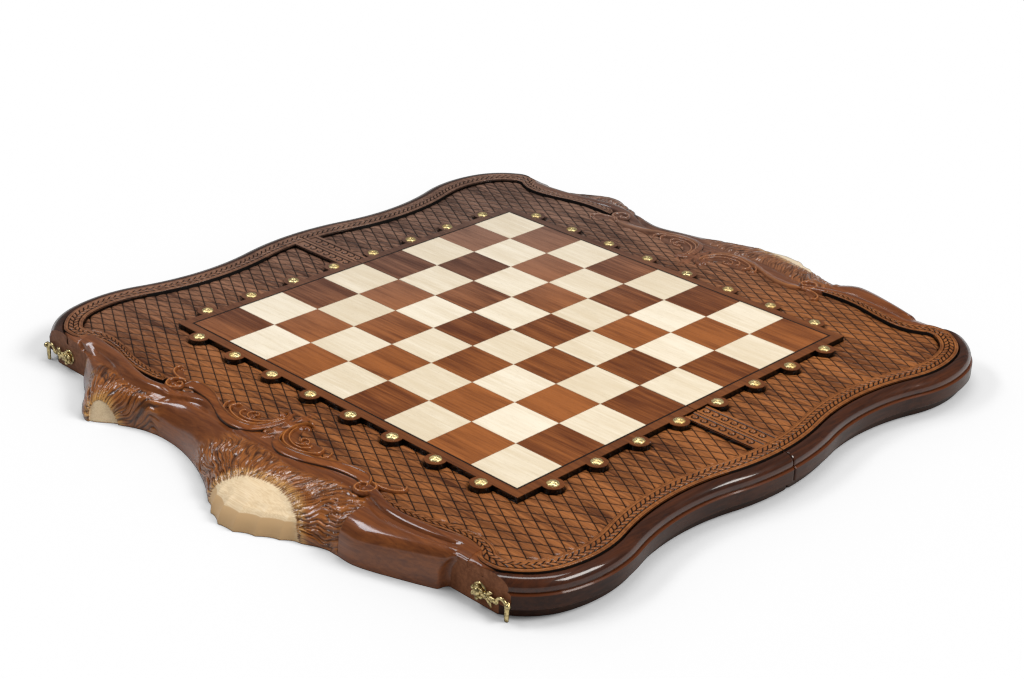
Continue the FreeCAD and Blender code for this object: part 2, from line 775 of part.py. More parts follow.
def check_and_write():
    """Stops on any failed object or bad shape, then writes each sub-part."""
    failed = [item.Label for item in doc.Objects if {"Invalid", "Error"} & set(item.State)]
    bad = [item.Label for item in nodes if item.Shape.isNull() or not item.Shape.isValid()]
    if failed or bad:
        raise RuntimeError(f"failed objects {failed}, bad shapes {bad}")
    os.makedirs("parts", exist_ok=True)
    for item in nodes:
        item.Shape.exportStep(f"parts/{item.Label}.step")
        print(f"{item.Label}: {len(item.Shape.Solids)} solids, {item.Shape.Volume:.1f} mm3")


make_case()
check_and_write()
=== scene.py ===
"""Looks of the carved folding chess and backgammon case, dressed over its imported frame.

Sizes are in millimetres until a mesh is made, and every mesh is in metres in the frame of the case:
X across the split, Y along it, Z up out of the playing field.
"""
from __future__ import annotations

import logging
import math
from dataclasses import dataclass, field
from enum import Enum
from typing import Callable, Iterable, Sequence

import bmesh
import bpy
import numpy as np
from mathutils import Matrix, Vector, noise
from mathutils.kdtree import KDTree


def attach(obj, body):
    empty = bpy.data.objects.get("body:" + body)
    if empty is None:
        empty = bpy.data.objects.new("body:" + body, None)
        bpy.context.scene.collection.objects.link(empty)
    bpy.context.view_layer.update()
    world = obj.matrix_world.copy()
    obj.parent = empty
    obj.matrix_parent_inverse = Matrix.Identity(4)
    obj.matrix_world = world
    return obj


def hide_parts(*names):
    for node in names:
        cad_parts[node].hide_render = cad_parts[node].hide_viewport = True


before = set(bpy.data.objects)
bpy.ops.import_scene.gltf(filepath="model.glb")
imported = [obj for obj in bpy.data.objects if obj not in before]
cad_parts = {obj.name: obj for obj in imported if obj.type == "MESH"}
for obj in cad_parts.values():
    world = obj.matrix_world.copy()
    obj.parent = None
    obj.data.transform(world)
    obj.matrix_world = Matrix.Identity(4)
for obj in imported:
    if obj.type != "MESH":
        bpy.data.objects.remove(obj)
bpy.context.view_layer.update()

log = logging.getLogger("case")

MM = 0.001
Array = np.ndarray
Mesh = bmesh.types.BMesh
Socket = bpy.types.NodeSocket
Colour = tuple[float, float, float]
Point = tuple[float, float]
Place = tuple[float, float, float]


class Half(Enum):
    """The two hinged halves, by the sign of X."""

    NEAR = -1
    FAR = 1

    @property
    def label(self) -> str:
        """The half's name, as its nodes start."""
        return self.name.lower()

    @property
    def body(self) -> str:
        """The frame body that the half moves with."""
        return f"{self.label}_half"


class Side(Enum):
    """The two ends of the split, by the sign of Y."""

    LEFT = 1
    RIGHT = -1

    @property
    def label(self) -> str:
        """The side's name, as its nodes start."""
        return self.name.lower()


class Grain(Enum):
    """The way the wood's fibres run."""

    ACROSS_SPLIT = (1.0, 0.0, 0.0)
    ALONG_SPLIT = (0.0, 1.0, 0.0)


class Section(Enum):
    """The cross-section of a raised carving."""

    ROUND = "a half-round roll"
    SLOPE = "a sloping band with one rim"
    PAD = "a plain cushion"


# How far the bark of each end runs out over its log, in millimetres.
LOG_BLEND = {Half.NEAR: 1.3, Half.FAR: 17.0}
# Points closer than this, in metres, are merged at a seam.
MERGE_REACH = 0.00001
# Points closer than this to a cutting plane, in metres, lie on it.
CUT_REACH = 1e-7


def linear(red: float, green: float, blue: float) -> Colour:
    """Turns a colour as it shows on a screen, 0 to 255, into a linear one."""
    def one(value: float) -> float:
        """One part of the colour."""
        share = value / 255.0
        return share / 12.92 if share <= 0.04045 else ((share + 0.055) / 1.055) ** 2.4
    return one(red), one(green), one(blue)


# Finishes


class NodeBench:
    """The nodes of a new material or world, and short ways to add and join them."""

    def __init__(self, owner: bpy.types.Material | bpy.types.World) -> None:
        """Starts with only the owner's shader and output.

        Args:
            owner: The new material or world.
        """
        owner.use_nodes = True
        self.owner = owner
        self.tree = owner.node_tree

    @property
    def shader(self) -> bpy.types.Node:
        """A material's own shader."""
        return self.tree.nodes["Principled BSDF"]

    def shade(self, **values: object) -> None:
        """Sets inputs of the shader, named with underscores for spaces."""
        for name, value in values.items():
            self.put(self.shader.inputs[name.replace("_", " ")], value)

    def put(self, socket: Socket, value: object) -> None:
        """Joins a socket to another node's output, or sets its own value."""
        if isinstance(value, Socket):
            self.tree.links.new(value, socket)
        elif isinstance(value, tuple) and len(value) == 3 and socket.type == "RGBA":
            socket.default_value = (*value, 1.0)
        else:
            socket.default_value = value

    def add(self, kind: str, sockets: dict | None = None, **settings: object) -> bpy.types.Node:
        """Adds a node.

        Args:
            kind: The node type, without its ShaderNode prefix.
            sockets: Input names or places with their values or sources.
            settings: Properties of the node.

        Returns:
            The new node.
        """
        node = self.tree.nodes.new("ShaderNode" + kind)
        for name, value in settings.items():
            setattr(node, name, value)
        for name, value in (sockets or {}).items():
            self.put(node.inputs[name], value)
        return node

    def mapped(self, vector: Socket, scale: Sequence[float]) -> Socket:
        """A vector, scaled for a pattern."""
        return self.add("Mapping", {"Vector": vector, "Scale": tuple(scale)}).outputs[0]

    def coordinates(self, scale: Sequence[float] = (1.0, 1.0, 1.0)) -> Socket:
        """Object coordinates, scaled for a pattern."""
        return self.mapped(self.add("TexCoord").outputs["Object"], scale)

    def axes(self, scale: Sequence[float] = (1.0, 1.0, 1.0)) -> list[Socket]:
        """The three parts of the object coordinates."""
        return list(self.add("SeparateXYZ", {0: self.coordinates(scale)}).outputs)

    def noise(self, vector: Socket, scale: float, detail: float = 3.0,
              roughness: float = 0.55, distortion: float = 0.0) -> Socket:
        """Noise values between 0 and 1."""
        return self.add("TexNoise", {"Vector": vector, "Scale": scale, "Detail": detail,
                                     "Roughness": roughness, "Distortion": distortion}).outputs[0]

    def math(self, operation: str, first: object, second: object = 0.0) -> Socket:
        """One sum of two values."""
        return self.add("Math", {0: first, 1: second}, operation=operation).outputs[0]

    def span(self, value: object, low: float, high: float, start: float = 0.0,
             end: float = 1.0) -> Socket:
        """Maps a range of values smoothly onto another."""
        return self.add("MapRange", {"Value": value, "From Min": low, "From Max": high, "To Min": start,
                                     "To Max": end}, interpolation_type="SMOOTHSTEP").outputs[0]

    def mix(self, share: object, first: object, second: object) -> Socket:
        """Mixes two colours.

        Args:
            share: How much of the second colour there is, from 0 to 1.
            first: A colour.
            second: Another colour.

        Returns:
            The mixed colour's socket.
        """
        node = self.add("Mix", data_type="RGBA", clamp_factor=True)
        self.put(node.inputs[0], share)
        self.put(node.inputs[6], first)
        self.put(node.inputs[7], second)
        return node.outputs[2]

    def attribute(self, name: str, output: str = "Fac") -> Socket:
        """A value kept on the mesh's points."""
        return self.add("Attribute", attribute_name=name).outputs[output]

    def bump(self, height: Socket, strength: float, distance: float) -> None:
        """Roughens the shader's normal by a height."""
        node = self.add("Bump", {"Height": height, "Strength": strength, "Distance": distance})
        self.shade(Normal=node.outputs[0])


@dataclass(frozen=True)
class WoodFinish:
    """Lacquered wood with streaks along its grain."""

    name: str
    dark: Colour
    light: Colour
    grain: Grain = Grain.ALONG_SPLIT
    streak_width: float = 2.4
    streak_length: float = 60.0
    roughness: float = 0.32
    coat: float = 0.55
    coat_roughness: float = 0.06
    coat_ior: float = 1.5
    specular: float = 0.1
    contrast: float = 0.22
    aged_lean: Place = (0.6, 1.0, 1.0)
    aged_span: Point = (-60.0, 340.0)
    cooled: float = 0.32
    darkened: float = 0.28

    def grain_scale(self, width: float, length: float) -> Place:
        """The pattern scale for streaks of a width and length in millimetres."""
        return tuple(1.0 / (MM * (length if part else width)) for part in self.grain.value)

    def colour(self, bench: NodeBench) -> Socket:
        """The wood's own colour.

        Args:
            bench: The material in the making.

        Returns:
            The colour's socket.
        """
        fine = bench.noise(bench.coordinates(self.grain_scale(self.streak_width, self.streak_length)), 1.0,
                           5.0, 0.6, 0.4)
        broad = bench.noise(bench.coordinates(self.grain_scale(22.0, 130.0)), 1.0, 2.0)
        both = bench.math("ADD", bench.math("MULTIPLY", fine, 0.6), bench.math("MULTIPLY", broad, 0.4))
        share = bench.span(both, 0.5 - self.contrast, 0.5 + self.contrast)
        wood = bench.mix(share, self.dark, self.light)
        pores = bench.noise(bench.coordinates(self.grain_scale(0.55, 9.0)), 1.0, 2.0)
        return bench.mix(bench.span(pores, 0.60, 0.72, 0.0, 0.45), wood,
                         tuple(0.35 * part for part in self.dark))

    def lacquer(self, bench: NodeBench) -> None:
        """Sets the gloss and a slight unevenness of the coat.

        Args:
            bench: The material in the making.
        """
        patches = bench.noise(bench.coordinates((90.0, 90.0, 90.0)), 1.0, 2.0)
        bench.shade(Coat_Weight=self.coat, Coat_Roughness=self.coat_roughness, Coat_IOR=self.coat_ior,
                    Specular_IOR_Level=self.specular,
                    Roughness=bench.span(patches, 0.25, 0.75, self.roughness - 0.07, self.roughness + 0.09))

    def relief(self, bench: NodeBench) -> None:
        """Raises the fibres a little."""
        fibres = bench.noise(bench.coordinates(self.grain_scale(0.7, 16.0)), 1.0, 3.0)
        bench.bump(fibres, 0.12, 0.0004)

    def stained(self, bench: NodeBench, colour: Socket) -> Socket:
        """Leaves the colour as it is; kinds with marks or painted light change it."""
        return colour

    def aged(self, bench: NodeBench, colour: Socket) -> Socket:
        """Turns the wood cooler and darker towards the far left corner of the case.

        Args:
            bench: The material in the making.
            colour: The wood's own colour.

        Returns:
            The cooled and darkened colour's socket.
        """
        across, along, _ = bench.axes(self.aged_lean)
        place = bench.math("ADD", across, along)
        low, high = (bound * MM for bound in self.aged_span)
        return bench.add("HueSaturation", {
            "Saturation": bench.span(place, low, high, 1.0, 1.0 - self.cooled),
            "Value": bench.span(place, low, high, 1.0, 1.0 - self.darkened), "Color": colour}).outputs[0]

    def material(self) -> bpy.types.Material:
        """Builds the finish.

        Returns:
            The node material.
        """
        bench = NodeBench(bpy.data.materials.new(self.name))
        bench.shade(Base_Color=self.aged(bench, self.stained(bench, self.colour(bench))))
        self.lacquer(bench)
        self.relief(bench)
        return bench.owner


@dataclass(frozen=True)
class CarvedFinish(WoodFinish):
    """Carved wood with painted shade in its hollows, by the depth kept on the mesh, and painted highlights on its
    rims.
    """

    # Painted shade for the carved hollows.
    hollow: Colour = linear(26, 12, 6)
    # Painted highlight for the carved rims.
    highlight_colour: Colour = linear(196, 124, 62)
    hollow_span: Point = (0.25, 0.95)

    def stained(self, bench: NodeBench, colour: Socket) -> Socket:
        """Paints shade into the hollows and highlights onto the rims.

        Args:
            bench: The material in the making.
            colour: The wood's own colour.

        Returns:
            The colour's socket, with painted shade and highlights.
        """
        highlight_amount = bench.attribute("worn")
        depth = bench.attribute("hollow")
        highlight_colour = bench.mix(bench.span(highlight_amount, 0.2, 0.9, 0.0, 0.85), colour, self.highlight_colour)
        return bench.mix(bench.span(depth, *self.hollow_span), highlight_colour, self.hollow)


@dataclass(frozen=True)
class MouldingFinish(WoodFinish):
    """Dark polished moulding with painted highlights along its ledges."""

    # Painted highlight colour for the ledges.
    highlight_colour: Colour = linear(88, 44, 20)

    def stained(self, bench: NodeBench, colour: Socket) -> Socket:
        """Paints highlights along the ledges."""
        highlight_amount = bench.attribute("worn")
        return bench.mix(bench.span(highlight_amount, 0.2, 0.9), colour, self.highlight_colour)


@dataclass(frozen=True)
class LatticeFinish(WoodFinish):
    """Sunk ground with thin black lines cut in diamonds."""

    pitch: float = 11.2
    reach: float = 19.5
    line: float = 0.55
    # Black of the cut lines, also used for painted shade.
    cut: Colour = linear(12, 6, 3)

    def stained(self, bench: NodeBench, colour: Socket) -> Socket:
        """Draws the cut lines, and paints shade beside them and over the rolled edges.

        Args:
            bench: The material in the making.
            colour: The wood's own colour.

        Returns:
            The colour's socket, with its cut lines and painted shade.
        """
        x, y, _ = bench.axes()
        across = bench.math("MULTIPLY", bench.math("ABSOLUTE", x), 1.0 / (self.pitch * MM))
        along = bench.math("MULTIPLY", y, 1.0 / (self.reach * MM))
        gaps = [bench.math("PINGPONG", bench.math(way, across, along), 0.5) for way in ("ADD", "SUBTRACT")]
        nearest = bench.math("MINIMUM", *gaps)
        width = self.line / (self.pitch * math.cos(math.atan2(self.pitch, self.reach)))
        # Painted shade fading out beside each cut line.
        soft = bench.mix(bench.span(nearest, 0.0, 0.16, 0.35, 0.0), colour, self.cut)
        sunk = bench.attribute("hollow")
        # Painted shade where the ground rolls down at its edges.
        soft = bench.mix(bench.span(sunk, 0.45, 1.0, 0.0, 0.9), soft, self.cut)
        return bench.mix(bench.span(nearest, 0.5 * width, width, 1.0, 0.0), soft, self.cut)


@dataclass(frozen=True)
class TileFinish(WoodFinish):
    """Veneer cut into squares, each from another place of the sheet."""

    side: float = 47.0
    spread: float = 0.1

    def colour(self, bench: NodeBench) -> Socket:
        """Streaks that jump from square to square, each a little lighter or darker.

        Args:
            bench: The material in the making.

        Returns:
            The colour's socket.
        """
        place = bench.coordinates((1.0 / (self.side * MM), 1.0 / (self.side * MM), 0.0))
        square = bench.add("VectorMath", {0: place}, operation="FLOOR").outputs[0]
        shade = bench.add("TexWhiteNoise", {"Vector": square}, noise_dimensions="3D")
        source = bench.add("TexCoord").outputs["Object"]
        jump = bench.add("VectorMath", {0: shade.outputs["Color"], 1: source}, operation="ADD").outputs[0]

        def streaks(width: float, length: float, detail: float) -> Socket:
            """Noise drawn out along the grain."""
            return bench.noise(bench.mapped(jump, self.grain_scale(width, length)), 1.0, detail, 0.6, 0.5)

        fine = streaks(self.streak_width, self.streak_length, 5.0)
        broad = streaks(16.0, 110.0, 2.0)
        both = bench.math("ADD", bench.math("MULTIPLY", fine, 0.55), bench.math("MULTIPLY", broad, 0.45))
        shifted = bench.math("ADD", both, bench.span(shade.outputs["Value"], 0.0, 1.0, -self.spread, self.spread))
        wood = bench.mix(bench.span(shifted, 0.5 - self.contrast, 0.5 + self.contrast), self.dark, self.light)
        pores = streaks(0.5, 8.0, 2.0)
        return bench.mix(bench.span(pores, 0.60, 0.72, 0.0, 0.35), wood, tuple(0.5 * part for part in self.dark))


@dataclass(frozen=True)
class PlateFinish(WoodFinish):
    """The field's plate: black painted shadow on the walls under a plain top."""

    # Black painted shadow for the walls under the plate's edge.
    wall: Colour = linear(10, 5, 3)
    edge_level: float = 31.7

    def stained(self, bench: NodeBench, colour: Socket) -> Socket:
        """Paints black shadow on the walls below the upper edge.

        Args:
            bench: The material in the making.
            colour: The wood's own colour.

        Returns:
            The colour's socket, with its painted shadow.
        """
        level = bench.axes()[2]
        low = bench.span(level, (self.edge_level - 0.2) * MM, (self.edge_level + 0.1) * MM, 1.0, 0.0)
        return bench.mix(low, colour, self.wall)


@dataclass(frozen=True)
class BarkFinish(WoodFinish):
    """Carved bark strands round bare, unstained branch stubs."""

    strand_dark: Colour = linear(86, 42, 16)
    strand_light: Colour = linear(168, 100, 43)
    tip: Colour = linear(218, 166, 98)
    # Painted shade for the grooves between the strands.
    hollow: Colour = linear(56, 26, 9)
    bare_dark: Colour = linear(220, 192, 152)
    bare_light: Colour = linear(237, 214, 178)
    sawn: Colour = linear(204, 168, 124)

    def stained(self, bench: NodeBench, colour: Socket) -> Socket:
        """Colours the strands, paints shade into the grooves between them, and leaves the stubs bare.

        Args:
            bench: The material in the making.
            colour: The wood's own colour.

        Returns:
            The colour's socket, with painted shade in the grooves.
        """
        flow = bench.attribute("strand_flow", "Vector")
        hollow = bench.attribute("hollow")
        strands = bench.attribute("strands")
        tips = bench.attribute("tips")
        bare = bench.attribute("bare")
        sawn = bench.attribute("sawn")
        fine = bench.noise(bench.mapped(flow, (0.75, 0.07, 0.0)), 1.0, 5.0, 0.65)
        fur = bench.mix(bench.span(fine, 0.30, 0.68), self.strand_dark, self.strand_light)
        fur = bench.mix(bench.math("MULTIPLY", tips, bench.span(fine, 0.32, 0.56)), fur, self.tip)
        # Painted shade in the grooves.
        fur = bench.mix(bench.span(hollow, 0.25, 0.95), fur, self.hollow)
        wood = bench.mix(strands, colour, fur)
        lines = bench.noise(bench.coordinates((1400.0, 40.0, 1400.0)), 1.0, 3.0)
        pale = bench.mix(bench.span(lines, 0.3, 0.7), self.bare_dark, self.bare_light)
        pale = bench.mix(sawn, pale, self.sawn)
        ragged = bench.math("ADD", bare, bench.math("MULTIPLY", bench.math("SUBTRACT", fine, 0.5), 1.5))
        return bench.mix(bench.span(ragged, 0.44, 0.66), wood, pale)

    def lacquer(self, bench: NodeBench) -> None:
        """Gloss on the stained wood, and a duller stub.

        Args:
            bench: The material in the making.
        """
        super().lacquer(bench)
        bare = bench.attribute("bare")
        bench.shade(Roughness=bench.span(bare, 0.45, 0.6, self.roughness, 0.5),
                    Coat_Weight=bench.span(bare, 0.3, 0.6, self.coat, 0.04))

    def relief(self, bench: NodeBench) -> None:
        """Fine strands between the carved ones.

        Args:
            bench: The material in the making.
        """
        flow = bench.attribute("strand_flow", "Vector")
        strands = bench.attribute("strands")
        fine = bench.noise(bench.mapped(flow, (1.3, 0.12, 0.0)), 1.0, 3.0)
        bench.bump(bench.math("MULTIPLY", fine, strands), 0.7, 0.0011)


@dataclass(frozen=True)
class BrassFinish:
    """Brass with a little dark age in patches."""

    name: str
    bright: Colour
    aged: Colour
    roughness: float = 0.22
    age_scale: float = 260.0

    def material(self) -> bpy.types.Material:
        """Builds the finish.

        Returns:
            The node material.
        """
        bench = NodeBench(bpy.data.materials.new(self.name))
        age = bench.noise(bench.coordinates((self.age_scale,) * 3), 1.0, 4.0, 0.6)
        bench.shade(Metallic=1.0, Base_Color=bench.mix(bench.span(age, 0.42, 0.72), self.bright, self.aged),
                    Roughness=bench.span(age, 0.3, 0.75, self.roughness - 0.05, self.roughness + 0.16))
        bench.bump(bench.noise(bench.coordinates((900.0,) * 3), 1.0, 2.0), 0.15, 0.0003)
        return bench.owner


class Finishes:
    """Every finish on the case, built once."""

    def __init__(self) -> None:
        """Builds the node materials."""
        self.moulding = MouldingFinish("moulding_walnut", linear(36, 16, 8), linear(78, 39, 18),
                                       Grain.ACROSS_SPLIT, coat=0.85, coat_ior=1.55, coat_roughness=0.05).material()
        self.fascia = MouldingFinish("fascia_walnut", linear(32, 15, 9), linear(66, 35, 19), Grain.ACROSS_SPLIT,
                                     coat=0.35).material()
        self.border = CarvedFinish("border_walnut", linear(104, 57, 26), linear(160, 99, 52), coat=0.2,
                                   hollow_span=(0.12, 0.62), roughness=0.42).material()
        self.land = WoodFinish("land_walnut", linear(104, 62, 40), linear(146, 94, 64), Grain.ACROSS_SPLIT,
                               roughness=0.5, coat=0.0).material()
        self.ground = LatticeFinish("lattice_walnut", linear(74, 38, 18), linear(164, 101, 54), coat=0.45,
                                    contrast=0.17).material()
        self.scroll = CarvedFinish("scroll_walnut", linear(96, 48, 20), linear(150, 86, 40), coat=0.6).material()
        self.bark = BarkFinish("bark_walnut", linear(88, 43, 17), linear(138, 77, 34), coat=0.9, coat_ior=1.55,
                               coat_roughness=0.10).material()
        self.plate = PlateFinish("plate_walnut", linear(86, 45, 21), linear(126, 72, 35)).material()
        # The deck's walls below its edge get the same black painted shadow.
        self.deck = PlateFinish("deck_walnut", linear(96, 50, 22), linear(140, 80, 38), edge_level=29.7).material()
        # Black painted shadow for the walls under the border, strap and ground.
        self.stain = WoodFinish("painted_shadow_black", linear(9, 5, 3), linear(20, 10, 6), roughness=0.6,
                                coat=0.0).material()
        self.dark_tile = TileFinish("walnut_tile", linear(90, 44, 18), linear(160, 94, 46), streak_width=1.6,
                                    roughness=0.28).material()
        self.light_tile = TileFinish("maple_tile", linear(220, 203, 174), linear(241, 229, 207), cooled=0.1,
                                     darkened=0.04, streak_width=2.2, roughness=0.28).material()
        self.stringing = WoodFinish("stringing_black", linear(16, 9, 6), linear(32, 18, 11)).material()
        self.inside = WoodFinish("inside_walnut", linear(108, 66, 36), linear(162, 108, 64),
                                 Grain.ACROSS_SPLIT, roughness=0.42, coat=0.25).material()
        self.light_point = WoodFinish("maple_point", linear(214, 192, 156), linear(238, 222, 194),
                                      Grain.ACROSS_SPLIT, cooled=0.1, darkened=0.04).material()
        self.dark_point = WoodFinish("walnut_point", linear(46, 22, 12), linear(82, 42, 22),
                                     Grain.ACROSS_SPLIT).material()
        self.rail = WoodFinish("rail_walnut", linear(60, 31, 16), linear(104, 58, 31)).material()
        self.nail = BrassFinish("nail_brass", linear(252, 230, 168), linear(230, 190, 116), 0.36, 60.0).material()
        self.hinge = BrassFinish("hinge_brass", linear(216, 180, 106), linear(150, 112, 58), 0.3).material()
        self.clasp = BrassFinish("clasp_brass", linear(236, 214, 156), linear(92, 76, 42), 0.24, 420.0).material()


# Mesh making


@dataclass
class Carving:
    """Places of a grid's points in millimetres, and values kept on them."""

    places: Array
    values: dict[str, Array] = field(default_factory=dict)


def grid(columns: int, rows: int, shape: Callable[[Array, Array], Carving]) -> Mesh:
    """Makes a grid and moves its points onto a shape.

    Args:
        columns: Faces along the first direction.
        rows: Faces along the second direction.
        shape: Gives the carving for arrays of both directions, from 0 to 1.

    Returns:
        The shaped grid, with the carving's values as point layers.
    """
    bm = bmesh.new()
    bmesh.ops.create_grid(bm, x_segments=columns, y_segments=rows, size=0.5)
    flat = np.array([vert.co[:2] for vert in bm.verts]) + 0.5
    carving = shape(flat[:, 0], flat[:, 1])
    for vert, place in zip(bm.verts, (carving.places * MM).tolist()):
        vert.co = place
    for name, values in carving.values.items():
        if values.ndim == 1:
            layer = bm.verts.layers.float.new(name)
        else:
            layer = bm.verts.layers.float_vector.new(name)
        for vert, value in zip(bm.verts, values.tolist()):
            vert[layer] = value
    return bm


def steps_of(share: Array, count: int) -> Array:
    """The numbers, from 0 to count - 1, that shares from 0 to 1 stand for."""
    return np.rint(share * (count - 1)).astype(int)


def placed(plan: Array, level: Array, half: Half, side: Side = Side.LEFT) -> Array:
    """Points in plan at their levels, on one half and one side of the case."""
    return np.column_stack([plan, level]) * (half.value, side.value, 1.0)


def fill_holes(bm: Mesh) -> None:
    """Closes every open loop and turns all faces outwards."""
    open_edges = [edge for edge in bm.edges if edge.is_boundary]
    if open_edges:
        bmesh.ops.holes_fill(bm, edges=open_edges, sides=0)
    bmesh.ops.recalc_face_normals(bm, faces=bm.faces)


def close_below(bm: Mesh, level: float, wall_slot: int = 1) -> Mesh:
    """Drops walls from the open edges and closes the underside.

    Args:
        bm: An open carved sheet.
        level: Where the walls end, in millimetres.
        wall_slot: The material slot of the walls.

    Returns:
        The closed mesh.
    """
    rim = [edge for edge in bm.edges if edge.is_boundary]
    for part in bmesh.ops.extrude_edge_only(bm, edges=rim)["geom"]:
        if isinstance(part, bmesh.types.BMVert):
            part.co.z = level * MM
        elif isinstance(part, bmesh.types.BMFace):
            part.material_index = wall_slot
    fill_holes(bm)
    return bm


def merge_points(bm: Mesh) -> Mesh:
    """Merges the points that meet at a seam or pole."""
    bmesh.ops.remove_doubles(bm, verts=bm.verts, dist=MERGE_REACH)
    return bm


def close_seams(bm: Mesh) -> Mesh:
    """Merges the points that meet at a seam or pole, and closes the ends."""
    fill_holes(merge_points(bm))
    return bm


def lofted(places: Array, values: dict[str, Array], half: Half, side: Side = Side.LEFT) -> Mesh:
    """Makes a closed mesh of columns and rows of points.

    Args:
        places: Points by column and row, as on the left of the far half.
        values: Values kept on the points, by column and row.
        half: The half it belongs to.
        side: The end of the split it is on, for a piece of one end.

    Returns:
        The closed mesh.
    """
    def shape(along: Array, around: Array) -> Carving:
        """Picks the points by their columns and rows."""
        column, row = steps_of(along, places.shape[0]), steps_of(around, places.shape[1])
        return Carving(places[column, row] * (half.value, side.value, 1.0),
                       {name: kept[column, row] for name, kept in values.items()})

    return close_seams(grid(places.shape[0] - 1, places.shape[1] - 1, shape))


def cut_past(bm: Mesh, reach: float, half: Half) -> None:
    """Cuts off what stands out past a plane across X, and closes the cut.

    Args:
        bm: A closed mesh, changed in place.
        reach: The plane's distance from the split, in millimetres.
        half: The half that the mesh belongs to.
    """
    bmesh.ops.bisect_plane(bm, geom=bm.verts[:] + bm.edges[:] + bm.faces[:], dist=CUT_REACH,
                           plane_co=(reach * MM * half.value, 0, 0), plane_no=(half.value, 0, 0), clear_outer=True)
    fill_holes(bm)


def gathered(parts: Iterable[Mesh]) -> Mesh:
    """Puts separate closed shapes into one mesh.

    Args:
        parts: The shapes, which are used up.

    Returns:
        The one mesh.
    """
    whole = bmesh.new()
    for part in parts:
        step = bpy.data.meshes.new("step")
        part.to_mesh(step)
        part.free()
        whole.from_mesh(step)
        bpy.data.meshes.remove(step)
    return whole


def publish(bm: Mesh, name: str, body: str, materials: Sequence[bpy.types.Material],
            replaced: Sequence[str] = (), crease: float = 38.0) -> bpy.types.Object:
    """Makes a finished piece of a mesh.

    Args:
        bm: The closed mesh.
        name: The piece's name.
        body: The frame body that it moves with.
        materials: Its node materials, by slot.
        replaced: Frame nodes that it stands for.
        crease: Edges sharper than this many degrees stay crisp.

    Returns:
        The piece's object.
    """
    mesh = bpy.data.meshes.new(name)
    bm.to_mesh(mesh)
    bm.free()
    for material in materials:
        mesh.materials.append(material)
    mesh.polygons.foreach_set("use_smooth", [True] * len(mesh.polygons))
    mesh.set_sharp_from_angle(angle=math.radians(crease))
    piece = bpy.data.objects.new(name, mesh)
    bpy.context.scene.collection.objects.link(piece)
    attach(piece, body)
    if replaced:
        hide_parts(*replaced)
    log.info("%s: %d faces on %s", name, len(mesh.polygons), body)
    return piece


# Lines in plan


def even_line(line: Array, step: float) -> Array:
    """Spaces the points of a line evenly.

    Args:
        line: Points along the line, one in each row.
        step: The spacing, about.

    Returns:
        Evenly spaced points.
    """
    runs = np.linalg.norm(np.diff(line, axis=0), axis=1)
    lengths = np.concatenate([[0.0], np.cumsum(runs)])
    marks = np.linspace(0.0, lengths[-1], max(2, round(lengths[-1] / step)) + 1)
    return np.column_stack([np.interp(marks, lengths, line[:, axis]) for axis in range(2)])


def smooth_line(stops: Sequence[Point], step: float) -> Array:
    """A smooth line through stops.

    Args:
        stops: Points that the line passes, in millimetres.
        step: The spacing of its points.

    Returns:
        Evenly spaced points, one in each row.
    """
    points = np.array(stops, float)
    padded = np.vstack([2 * points[0] - points[1], points, 2 * points[-1] - points[-2]])
    share = np.linspace(0.0, 1.0, 24, endpoint=False)[:, None]
    runs = []
    for before, first, last, after in zip(padded, padded[1:], padded[2:], padded[3:]):
        runs.append(0.5 * (2 * first + (last - before) * share
                           + (2 * before - 5 * first + 4 * last - after) * share ** 2
                           + (3 * first - before - 3 * last + after) * share ** 3))
    return even_line(np.vstack([*runs, points[-1:]]), step)


def left_of(line: Array) -> Array:
    """The unit direction to the left of a line at each of its points."""
    ahead = np.gradient(line, axis=0)
    ahead /= np.linalg.norm(ahead, axis=1)[:, None]
    return np.column_stack([-ahead[:, 1], ahead[:, 0]])


def curved(values: Sequence[float], stops: Sequence[float], at: Array) -> Array:
    """Reads a smooth curve through values at rising stops.

    Args:
        values: The curve's values.
        stops: Where they stand.
        at: Where the curve is read.

    Returns:
        The curve there.
    """
    stops, values = np.array(stops, float), np.array(values, float)
    slope = np.gradient(values, stops)
    index = np.clip(np.searchsorted(stops, at) - 1, 0, len(stops) - 2)
    run = stops[index + 1] - stops[index]
    share = np.clip((at - stops[index]) / run, 0.0, 1.0)
    rest = 1.0 - share
    return (values[index] * (1 + 2 * share) * rest ** 2 + slope[index] * run * share * rest ** 2
            + values[index + 1] * (3 - 2 * share) * share ** 2 - slope[index + 1] * run * rest * share ** 2)


def eased(values: Array, low: float, high: float) -> Array:
    """Rises smoothly from 0 at low to 1 at high."""
    share = np.clip((values - low) / (high - low), 0.0, 1.0)
    return share * share * (3.0 - 2.0 * share)


def wavering(points: Array) -> Array:
    """Smooth noise at points in three directions, about -1 to 1."""
    return np.array([noise.noise(point) for point in points.tolist()])


